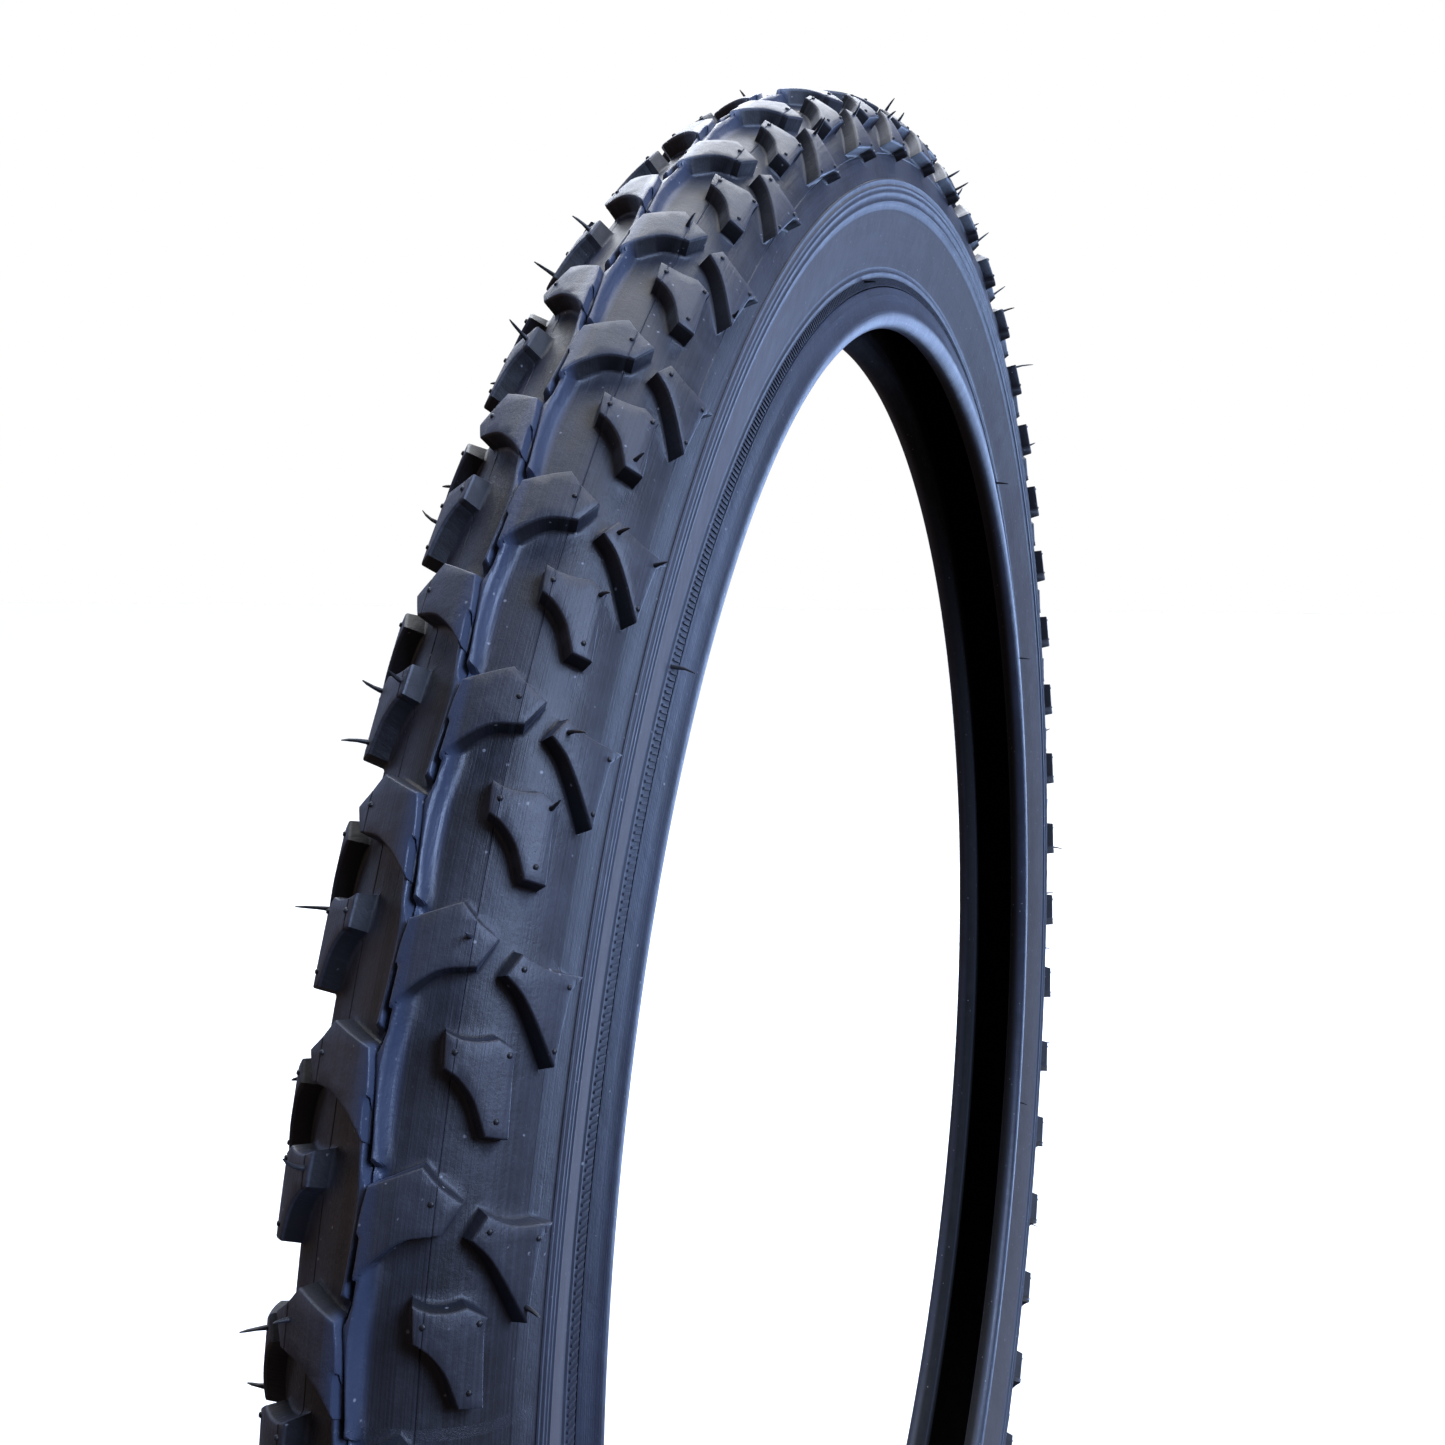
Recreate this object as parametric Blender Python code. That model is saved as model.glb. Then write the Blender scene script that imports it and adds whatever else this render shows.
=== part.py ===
"""A 20 x 1.95 in knobbly wire-bead bicycle tire, as the pieces it is cured from.

The tire stands upright. Its axis of spin is the Y axis and the origin is the wheel's centre.
Every ring is turned in the same number of facets as the tread has pitches, so that the layers nest.
A place on a cross-section is (across, radius): across is the distance from the middle plane
towards -Y, and radius is the distance from the axis of spin.
"""

import math

import bmesh
import bpy
from mathutils import Vector
from mathutils.geometry import delaunay_2d_cdt

MM = 0.001

# Overall sizes
BEAD_SEAT_RADIUS = 202.4 * MM  # the inside of the bead, which sits on the rim
SECTION_HEIGHT = 53.1 * MM  # from the inside of the bead to the top of the centre knobs
TREAD_HALF_WIDTH = 19.5 * MM  # to the widest part of the shoulder knobs' tops
BEAD_HALF_WIDTH = 13.0 * MM  # to the bead's outer face
WAIST_INSET = 2.3 * MM  # how far the sidewall's waist lies inside the bead's outer face

# Tread
PITCHES = 50
TREAD_PHASE = math.radians(5.34)
KNOB_HEIGHT = 3.2 * MM
TREAD_FLOOR = 1.6 * MM  # rubber under the open tread
CROWN_END = 80.0  # degrees across the crown, where its round part ends
SHOULDER_FACE = 3.4 * MM  # from the crown's end down to the tread's edge
SHOULDER_FLARE = 0.55 * MM  # how far the tread's edge stands outside the crown's end
BELLY_DROP = 3.6 * MM  # from the tread's edge down to where the sidewall turns inward

# Layers
LAYER_GAP = 0.2 * MM
PIECE_GAP = 0.3 * MM
CUSHION_THICKNESS = 0.6 * MM
PLY_THICKNESS = 0.5 * MM
SIDEWALL_THICKNESS = 1.2 * MM
CHAFER_THICKNESS = 0.9 * MM
TURN_UP_HEIGHT = 9.4 * MM  # from the bead wire's centre to the folded ply's edge, at the sidewall's waist
CHAFER_HEIGHT = 6.2 * MM  # from the bead wire's centre to the chafer's outer edge
CHAFER_INNER_REACH = 0.55  # share of the way up the folded ply, on the inside

# Bead wire and the sleeve that joins its ends
WIRE_DIAMETER = 2.0 * MM
WIRE_SIDES = 6
SLEEVE_WALL = 0.35 * MM
SLEEVE_FIT = 0.12 * MM
SLEEVE_LENGTH = 12.0 * MM
SLEEVE_SIDES = 8
SLEEVE_CLEARANCE = 0.2 * MM
WRAP_CORNERS = (150, 230, 310, 390)  # degrees round the wire, from its inner side to its outer side

# Knob outlines: (share of a pitch along the tread, degrees across the crown).
CENTRE_KNOB = ((1.100, 0.3), (1.454, 2.9), (1.546, 22.6), (1.424, 38.1), (1.305, 31.6), (1.243, 13.3))
TRANSITION_KNOB = ((1.035, 24.2), (1.044, 43.5), (1.000, 51.6), (0.669, 52.2), (0.675, 43.1), (0.913, 25.5))
SHOULDER_KNOB = ((1.383, 47.6), (1.345, 78.0), (0.980, 68.0), (1.015, 63.5), (1.290, 42.7))
FLOOR_ROWS = (0, 27, 54)  # degrees, where the tread's floor has a row of corners
PITCH_CUT = 0.573  # share of a pitch, where one drawn pitch ends and the next starts
CUT_WIDTH = 1e-4  # shares of a pitch within which a corner lies on a cut
BORDER = 89.0  # degrees, the flat drawing's border, which stands for the tread's edge
DRAWN_PITCH = 40.0  # degrees across that one pitch is drawn as long as, for well-shaped triangles
DRAWN_DETAIL = 1e-5  # the drawing's points closer than this are one
SHARPEST_SMOOTH = math.radians(25)  # a sharper edge than this is shaded as an edge

FINISHES = {
    "tread_rubber": ((0.022, 0.022, 0.025), 0.62, 0.0),
    "cushion_rubber": ((0.030, 0.028, 0.028), 0.70, 0.0),
    "ply_fabric": ((0.040, 0.036, 0.032), 0.85, 0.0),
    "sidewall_rubber": ((0.026, 0.025, 0.027), 0.55, 0.0),
    "chafer_fabric": ((0.030, 0.030, 0.034), 0.75, 0.0),
    "bead_steel": ((0.55, 0.54, 0.52), 0.35, 1.0),
}


def clear_scene():
    for existing in list(bpy.data.objects):
        bpy.data.objects.remove(existing, do_unlink=True)


def finish(name):
    color, roughness, metallic = FINISHES[name]
    material = bpy.data.materials.get(name)
    if material is None:
        material = bpy.data.materials.new(name)
        material.use_nodes = True
        shader = material.node_tree.nodes["Principled BSDF"]
        shader.inputs["Base Color"].default_value = (*color, 1.0)
        shader.inputs["Roughness"].default_value = roughness
        shader.inputs["Metallic"].default_value = metallic
    return material


def add_piece(name, points, faces, finish_name):
    """A closed mesh object of its own, with its faces turned outward."""
    mesh = bpy.data.meshes.new(name)
    mesh.from_pydata([tuple(point) for point in points], [], faces)
    shape = bmesh.new()
    shape.from_mesh(mesh)
    bmesh.ops.recalc_face_normals(shape, faces=shape.faces)
    if shape.calc_volume(signed=True) < 0:
        bmesh.ops.reverse_faces(shape, faces=shape.faces)
    shape.to_mesh(mesh)
    shape.free()
    mesh.shade_smooth()
    mesh.set_sharp_from_angle(angle=SHARPEST_SMOOTH)
    mesh.materials.append(finish(finish_name))
    piece = bpy.data.objects.new(name, mesh)
    bpy.context.scene.collection.objects.link(piece)
    return piece


def wheel_point(angle, across, radius):
    """Angle 0 is the -X side of the wheel, and it grows towards +Z."""
    return Vector((-radius * math.cos(angle), -across, radius * math.sin(angle)))


def ring_angle(pitches):
    """The angle this many pitches round the wheel."""
    return TREAD_PHASE + math.tau * pitches / PITCHES


def ring(name, section, finish_name):
    """A closed cross-section turned once round the wheel."""
    corners = len(section)
    points = []
    faces = []
    for turn in range(PITCHES):
        for across, radius in section:
            points.append(wheel_point(ring_angle(turn + PITCH_CUT), across, radius))
        here = turn * corners
        there = (turn + 1) % PITCHES * corners
        for corner in range(corners):
            after = (corner + 1) % corners
            faces.append((here + corner, here + after, there + after, there + corner))
    return add_piece(name, points, faces, finish_name)


def offset(path, distances):
    """The path moved sideways, to its left, by a distance at each corner, with its sides kept parallel."""
    moved = []
    last = len(path) - 1
    for index, point in enumerate(path):
        here = Vector(point)
        before = Vector(path[max(index - 1, 0)])
        after = Vector(path[min(index + 1, last)])
        sides = [step.normalized() for step in (here - before, after - here) if step.length > 0]
        normals = [Vector((-side.y, side.x)) for side in sides]
        normal = sum(normals, Vector((0.0, 0.0))).normalized()
        stretch = 1 / normal.dot(normals[0])
        moved.append(tuple(here + normal * distances[index] * stretch))
    return moved


def strip(path, thickness):
    """A closed cross-section of even thickness along an open path."""
    half = thickness / 2
    left = offset(path, [half] * len(path))
    right = offset(path, [-half] * len(path))
    return left + right[::-1]


def mirrored(path):
    """The same path on the other side of the middle plane, run the other way."""
    return [(-across, radius) for across, radius in reversed(path)]


def both_sides(half_path):
    """A half path that starts on the middle plane, joined to its mirror image."""
    return mirrored(half_path)[:-1] + half_path


# The outer surface of the rubber, from the middle of the tread to the bead.

OVERALL_RADIUS = BEAD_SEAT_RADIUS + SECTION_HEIGHT
CROWN_RADIUS = TREAD_HALF_WIDTH - KNOB_HEIGHT
CROWN_CENTRE = OVERALL_RADIUS - TREAD_HALF_WIDTH
SLEEVE_OUTER = WIRE_DIAMETER / 2 + SLEEVE_FIT + SLEEVE_WALL
WRAP_FLAT = math.cos(math.radians((WRAP_CORNERS[1] - WRAP_CORNERS[0]) / 2))
PLY_WRAP = (SLEEVE_OUTER + SLEEVE_CLEARANCE) / WRAP_FLAT + PLY_THICKNESS / 2
BEAD_HALF_SIZE = PLY_WRAP * WRAP_FLAT + PLY_THICKNESS / 2 + LAYER_GAP + CHAFER_THICKNESS
WIRE_ACROSS = BEAD_HALF_WIDTH - BEAD_HALF_SIZE
WIRE_RADIUS = BEAD_SEAT_RADIUS + BEAD_HALF_SIZE


def crown_point(degrees_across, height):
    turn = math.radians(degrees_across)
    reach = CROWN_RADIUS + height
    return reach * math.sin(turn), CROWN_CENTRE + reach * math.cos(turn)


def tread_edge():
    """Where the tread's rubber meets the sidewall's, below the shoulder knobs."""
    across, radius = crown_point(CROWN_END, 0)
    return across + SHOULDER_FLARE, radius - SHOULDER_FACE


TREAD_EDGE = tread_edge()
BELLY = (TREAD_EDGE[0], TREAD_EDGE[1] - BELLY_DROP)
WAIST = (BEAD_HALF_WIDTH - WAIST_INSET, WIRE_RADIUS + TURN_UP_HEIGHT)


def flank_point(height):
    """Where the sidewall's outer surface is below its waist, this far above the bead wire's centre."""
    across = BEAD_HALF_WIDTH - WAIST_INSET * height / TURN_UP_HEIGHT
    return across, WIRE_RADIUS + height


def outer_stations():
    """The corners of the outer surface, and how deep the outer ply's middle lies under each."""
    crown_depth = TREAD_FLOOR + CUSHION_THICKNESS + 2 * LAYER_GAP + PLY_THICKNESS / 2
    side_depth = SIDEWALL_THICKNESS + LAYER_GAP + PLY_THICKNESS / 2
    folded_depth = side_depth + PLY_THICKNESS + LAYER_GAP
    stations = [(crown_point(degrees, 0), crown_depth) for degrees in CROWN_ROWS]
    stations.append((TREAD_EDGE, side_depth))
    stations.append((BELLY, side_depth))
    stations.append((WAIST, folded_depth))
    stations.append((flank_point(CHAFER_HEIGHT + PIECE_GAP), folded_depth))
    return stations


CROWN_ROWS = (*FLOOR_ROWS, CROWN_END)
STATIONS = outer_stations()
OUTER_PATH = [place for place, _ in STATIONS]
OUTER_PLY_DEPTHS = [depth for _, depth in STATIONS]
CROWN_STATIONS = len(CROWN_ROWS)
EDGE_STATION = CROWN_STATIONS
WAIST_STATION = EDGE_STATION + 2
WHOLE_PATH = both_sides(OUTER_PATH)


def under(depths):
    """The half path that lies this deep under the outer surface, station by station."""
    whole = depths[::-1][:-1] + depths
    return offset(WHOLE_PATH, [-depth for depth in whole])[len(depths) - 1 :]


def make_plies():
    """Two bias plies: the inner one is folded round both bead wires, the outer one ends above them."""
    ply_step = PLY_THICKNESS + LAYER_GAP
    outer_half = under(OUTER_PLY_DEPTHS)
    ring("casing_ply_outer", strip(both_sides(outer_half), PLY_THICKNESS), "ply_fabric")
    inner_half = under([depth + ply_step for depth in OUTER_PLY_DEPTHS])
    fold = under([depth - ply_step for depth in OUTER_PLY_DEPTHS])
    wrap = []
    for degrees in WRAP_CORNERS:
        turn = math.radians(degrees)
        wrap.append((WIRE_ACROSS + PLY_WRAP * math.cos(turn), WIRE_RADIUS + PLY_WRAP * math.sin(turn)))
    inner_half += wrap + [fold[-1], fold[WAIST_STATION]]
    ring("casing_ply_inner", strip(both_sides(inner_half), PLY_THICKNESS), "ply_fabric")
    bead_path = [inner_half[len(OUTER_PATH) - 1], *wrap, fold[-1]]
    return bead_path


def make_chafers(bead_path):
    """A rubbered fabric strip round each bead, outside the folded ply."""
    spacing = PLY_THICKNESS / 2 + LAYER_GAP + CHAFER_THICKNESS / 2
    path = offset(bead_path, [-spacing] * len(bead_path))
    inner_end = Vector(path[1]).lerp(Vector(path[0]), CHAFER_INNER_REACH)
    top_radius = WIRE_RADIUS + CHAFER_HEIGHT
    low, high = Vector(path[-2]), Vector(path[-1])
    outer_end = low.lerp(high, (top_radius - low.y) / (high.y - low.y))
    path = [tuple(inner_end), *path[1:-1], tuple(outer_end)]
    section = strip(path, CHAFER_THICKNESS)
    ring("chafer_left", section, "chafer_fabric")
    ring("chafer_right", mirrored(section), "chafer_fabric")


def make_sidewalls():
    half_depth = SIDEWALL_THICKNESS / 2
    path = under([half_depth] * len(OUTER_PATH))[EDGE_STATION:]
    top, below = Vector(path[0]), Vector(path[1])
    path[0] = tuple(top + (below - top).normalized() * PIECE_GAP)
    section = strip(path, SIDEWALL_THICKNESS)
    ring("sidewall_left", section, "sidewall_rubber")
    ring("sidewall_right", mirrored(section), "sidewall_rubber")


def make_cushion():
    depth = TREAD_FLOOR + LAYER_GAP + CUSHION_THICKNESS / 2
    path = under([depth] * len(OUTER_PATH))[:CROWN_STATIONS]
    ring("tread_cushion", strip(both_sides(path), CUSHION_THICKNESS), "cushion_rubber")


def make_bead_wire(side_name, side):
    section = []
    for corner in range(WIRE_SIDES):
        turn = math.tau * (corner + 0.5) / WIRE_SIDES
        across = side * WIRE_ACROSS + WIRE_DIAMETER / 2 * math.cos(turn)
        section.append((across, WIRE_RADIUS + WIRE_DIAMETER / 2 * math.sin(turn)))
    ring(f"bead_wire_{side_name}", section, "bead_steel")


def make_bead_sleeve(side_name, side):
    """A straight crimped tube over one facet of the hoop, where the wire's ends meet."""
    middle_angle = ring_angle(PITCH_CUT + 0.5)
    facet_radius = WIRE_RADIUS * math.cos(math.pi / PITCHES)
    centre = wheel_point(middle_angle, side * WIRE_ACROSS, facet_radius)
    outward = wheel_point(middle_angle, 0, 1)
    sideways = Vector((0, 1, 0))
    along = outward.cross(sideways)
    corner_stretch = 1 / math.cos(math.pi / SLEEVE_SIDES)
    bore = (WIRE_DIAMETER / 2 + SLEEVE_FIT) * corner_stretch
    rings = []
    for radius, end in ((bore, -1), (SLEEVE_OUTER, -1), (SLEEVE_OUTER, 1), (bore, 1)):
        loop = []
        for corner in range(SLEEVE_SIDES):
            turn = math.tau * (corner + 0.5) / SLEEVE_SIDES
            arm = outward * math.cos(turn) + sideways * math.sin(turn)
            loop.append(centre + arm * radius + along * end * SLEEVE_LENGTH / 2)
        rings.append(loop)
    points = [point for loop in rings for point in loop]
    faces = []
    for band in range(4):
        next_band = (band + 1) % 4
        for corner in range(SLEEVE_SIDES):
            after = (corner + 1) % SLEEVE_SIDES
            first, second = band * SLEEVE_SIDES, next_band * SLEEVE_SIDES
            faces.append((first + corner, first + after, second + after, second + corner))
    add_piece(f"bead_sleeve_{side_name}", points, faces, "bead_steel")


# The tread cap: one pitch is drawn flat, (share of a pitch, degrees across), and repeated.


def tread_outlines():
    """Every knob that reaches into one drawn pitch. The other half is a mirror image, half a pitch on."""
    outlines = []
    for outline in (CENTRE_KNOB, TRANSITION_KNOB, SHOULDER_KNOB):
        for shift in (-2, -1, 0, 1):
            near = [(along + shift, across) for along, across in outline]
            far = [(along + shift + 0.5, -across) for along, across in outline]
            outlines += [near, far]
    reaches = [[along for along, _ in outline] for outline in outlines]
    return [
        outline
        for outline, alongs in zip(outlines, reaches)
        if min(alongs) < PITCH_CUT + 1 and max(alongs) > PITCH_CUT
    ]


def is_inside(point, outline):
    inside = False
    for index, (x1, y1) in enumerate(outline):
        x0, y0 = outline[index - 1]
        if (y0 > point[1]) != (y1 > point[1]):
            if point[0] < (x1 - x0) * (point[1] - y0) / (y1 - y0) + x0:
                inside = not inside
    return inside


def flat_pitch():
    """One pitch, between two cuts straight across, as triangles that know if they are a knob's top."""
    outlines = tread_outlines()
    points = []
    edges = []

    def add_line(line, closed):
        start = len(points)
        points.extend(Vector((along * DRAWN_PITCH, across)) for along, across in line)
        last = len(line) if closed else len(line) - 1
        edges.extend((start + i, start + (i + 1) % len(line)) for i in range(last))

    rows = [-degrees for degrees in CROWN_ROWS[:0:-1]] + list(CROWN_ROWS)
    first_cut, last_cut = PITCH_CUT, PITCH_CUT + 1
    for cut in (first_cut, last_cut):
        add_line([(cut, across) for across in (-BORDER, *rows, BORDER)], closed=False)
    for border in (-BORDER, BORDER):
        add_line([(first_cut, border), (last_cut, border)], closed=False)
    for outline in outlines:
        add_line(outline, closed=True)
    found = delaunay_2d_cdt(points, edges, [], 0, DRAWN_DETAIL)
    flat = [(point.x / DRAWN_PITCH, point.y) for point in found[0]]
    triangles = []
    for face in found[2]:
        middle = [sum(flat[corner][axis] for corner in face) / 3 for axis in (0, 1)]
        if first_cut < middle[0] < last_cut and abs(middle[1]) < BORDER:
            is_knob = any(is_inside(middle, outline) for outline in outlines)
            triangles.append((tuple(face), is_knob))
    return flat, triangles


def tread_section(degrees_across, height):
    """The place on the tread's floor, or this high above it, for a place on the flat drawing."""
    beyond = (abs(degrees_across) - CROWN_END) / (BORDER - CROWN_END)
    if beyond <= 0:
        return crown_point(degrees_across, height)
    crown_end = Vector(crown_point(CROWN_END, height))
    across, radius = crown_end.lerp(Vector(TREAD_EDGE), beyond)
    return math.copysign(across, degrees_across), radius


def make_tread_cap():
    """The tread's floor and knobs as one skin, closed by the cap's underside."""
    flat, triangles = flat_pitch()
    used = sorted({corner for face, _ in triangles for corner in face})
    first_cut = [corner for corner in used if flat[corner][0] < PITCH_CUT + CUT_WIDTH]
    last_cut = [corner for corner in used if flat[corner][0] > PITCH_CUT + 1 - CUT_WIDTH]
    partner = {}
    for corner in last_cut:
        partner[corner] = min(first_cut, key=lambda other: abs(flat[other][1] - flat[corner][1]))

    points = []
    made = {}

    def shared(turn, corner):
        """The same corner as the next pitch names it, where it lies on the cut between them."""
        if corner in partner:
            turn, corner = turn + 1, partner[corner]
        return turn % PITCHES, corner

    def skin_point(place, is_knob):
        """The point on the floor or on a knob's top at this place, made once."""
        key = (place, is_knob)
        if key not in made:
            turn, corner = place
            along, degrees_across = flat[corner]
            across, radius = tread_section(degrees_across, KNOB_HEIGHT if is_knob else 0.0)
            made[key] = len(points)
            points.append(wheel_point(ring_angle(turn + along), across, radius))
        return made[key]

    faces = []
    edges_of = {True: set(), False: set()}
    for turn in range(PITCHES):
        for face, is_knob in triangles:
            places = [shared(turn, corner) for corner in face]
            faces.append(tuple(skin_point(place, is_knob) for place in places))
            edges_of[is_knob].update(frozenset((places[i], places[i - 1])) for i in range(3))
    for edge in sorted(sorted(edge) for edge in edges_of[True] & edges_of[False]):
        start, end = edge
        foot = [skin_point(start, False), skin_point(end, False)]
        faces.append((*foot, skin_point(end, True), skin_point(start, True)))

    depths = [TREAD_FLOOR] * CROWN_STATIONS + [SIDEWALL_THICKNESS] * (len(OUTER_PATH) - CROWN_STATIONS)
    underside = both_sides(under(depths)[: EDGE_STATION + 1])
    corners = len(underside)
    first = len(points)
    lowest_first = sorted(first_cut, key=lambda corner: flat[corner][1])
    borders = (lowest_first[0], lowest_first[-1])
    for turn in range(PITCHES):
        cut_angle = ring_angle(turn + PITCH_CUT)
        points.extend(wheel_point(cut_angle, across, radius) for across, radius in underside)
        here, there = first + turn * corners, first + (turn + 1) % PITCHES * corners
        for corner in range(corners - 1):
            faces.append((here + corner, here + corner + 1, there + corner + 1, there + corner))
        for border, under_corner in zip(borders, (0, corners - 1)):
            rim = [skin_point((turn, border), False), skin_point(((turn + 1) % PITCHES, border), False)]
            faces.append((*rim, there + under_corner, here + under_corner))
    add_piece("tread_cap", points, faces, "tread_rubber")


def build_tire():
    clear_scene()
    make_tread_cap()
    make_cushion()
    bead_path = make_plies()
    make_sidewalls()
    make_chafers(bead_path)
    for side_name, side in (("left", 1), ("right", -1)):
        make_bead_wire(side_name, side)
        make_bead_sleeve(side_name, side)


build_tire()
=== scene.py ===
"""Looks for a knobbly 20 inch bicycle tire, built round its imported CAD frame.

The tire stands upright with its axis of spin along Y. A place on a cross-section is (across, radius):
across is the distance from the middle plane towards -Y, radius the distance from the axis of spin.
An outline point on the tread's drawing is (share of a pitch, degrees across the crown).
"""

import logging
import math
import random
from dataclasses import dataclass, field
from enum import Enum
from typing import Iterable, Sequence

import bmesh
import bpy
import numpy as np
from mathutils import Matrix, Vector
from mathutils.geometry import delaunay_2d_cdt


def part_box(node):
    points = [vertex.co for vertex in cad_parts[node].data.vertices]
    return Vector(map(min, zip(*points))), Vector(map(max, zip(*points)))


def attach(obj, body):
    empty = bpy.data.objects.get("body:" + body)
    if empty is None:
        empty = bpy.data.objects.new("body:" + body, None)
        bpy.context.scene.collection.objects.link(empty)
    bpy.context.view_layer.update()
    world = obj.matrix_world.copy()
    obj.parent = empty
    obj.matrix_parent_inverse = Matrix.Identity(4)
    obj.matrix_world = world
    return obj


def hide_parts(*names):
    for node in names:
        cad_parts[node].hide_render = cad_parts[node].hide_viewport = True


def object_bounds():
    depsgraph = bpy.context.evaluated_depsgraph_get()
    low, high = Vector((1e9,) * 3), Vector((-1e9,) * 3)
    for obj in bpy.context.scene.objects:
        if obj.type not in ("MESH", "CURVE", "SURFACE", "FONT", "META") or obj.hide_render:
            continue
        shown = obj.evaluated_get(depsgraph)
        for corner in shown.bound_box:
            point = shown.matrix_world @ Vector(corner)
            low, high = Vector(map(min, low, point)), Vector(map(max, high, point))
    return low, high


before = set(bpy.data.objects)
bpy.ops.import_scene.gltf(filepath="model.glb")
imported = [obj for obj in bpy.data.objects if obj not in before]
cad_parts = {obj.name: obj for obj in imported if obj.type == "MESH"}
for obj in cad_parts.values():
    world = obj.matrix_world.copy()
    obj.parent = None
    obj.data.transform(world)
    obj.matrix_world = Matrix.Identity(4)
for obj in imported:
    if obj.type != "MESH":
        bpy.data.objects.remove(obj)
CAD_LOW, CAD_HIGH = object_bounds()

LOG = logging.getLogger("tire")
MM = 0.001
BODY = "root"
Place = tuple[float, float]
Color = tuple[float, float, float, float]
Faces = list[tuple[int, ...]]


class Side(Enum):
    """The two sides of the tire: LEFT is towards -Y."""

    LEFT = 1
    RIGHT = -1

    @property
    def word(self) -> str:
        """The side's name in the CAD nodes."""
        return self.name.lower()


class Turn(Enum):
    """How an outline passes through one of its points."""

    CORNER = "corner"
    CURVE = "curve"


# ---------------------------------------------------------------- shader maths


class Signal:
    """A shader socket that can be used in arithmetic, each operation adding a Math node."""

    def __init__(self, dresser: "Dresser", socket: bpy.types.NodeSocket) -> None:
        """Wraps one output socket.

        Args:
            dresser: The builder of the material that the socket belongs to.
            socket: The output socket.
        """
        self.dresser = dresser
        self.socket = socket

    def _math(self, operation: str, *values: "Signal | float") -> "Signal":
        """Adds a Math node for these values and returns its result."""
        return self.dresser.add("ShaderNodeMath", {"operation": operation}, dict(enumerate(values)))[0]

    def __add__(self, other: "Signal | float") -> "Signal":
        """self + other."""
        return self._math("ADD", self, other)

    def __radd__(self, other: float) -> "Signal":
        """other + self."""
        return self._math("ADD", other, self)

    def __sub__(self, other: "Signal | float") -> "Signal":
        """self - other."""
        return self._math("SUBTRACT", self, other)

    def __rsub__(self, other: float) -> "Signal":
        """other - self."""
        return self._math("SUBTRACT", other, self)

    def __mul__(self, other: "Signal | float") -> "Signal":
        """self * other."""
        return self._math("MULTIPLY", self, other)

    def __rmul__(self, other: float) -> "Signal":
        """other * self."""
        return self._math("MULTIPLY", other, self)

    def sine(self) -> "Signal":
        """The sine of self."""
        return self._math("SINE", self)

    def ramp(self, low: float, high: float) -> "Signal":
        """0 below low, 1 above high and smooth between.

        Args:
            low: Where the ramp starts.
            high: Where the ramp ends.

        Returns:
            The ramp's value.
        """
        settings = {"interpolation_type": "SMOOTHSTEP"}
        return self.dresser.add("ShaderNodeMapRange", settings, {0: self, 1: low, 2: high})[0]


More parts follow.
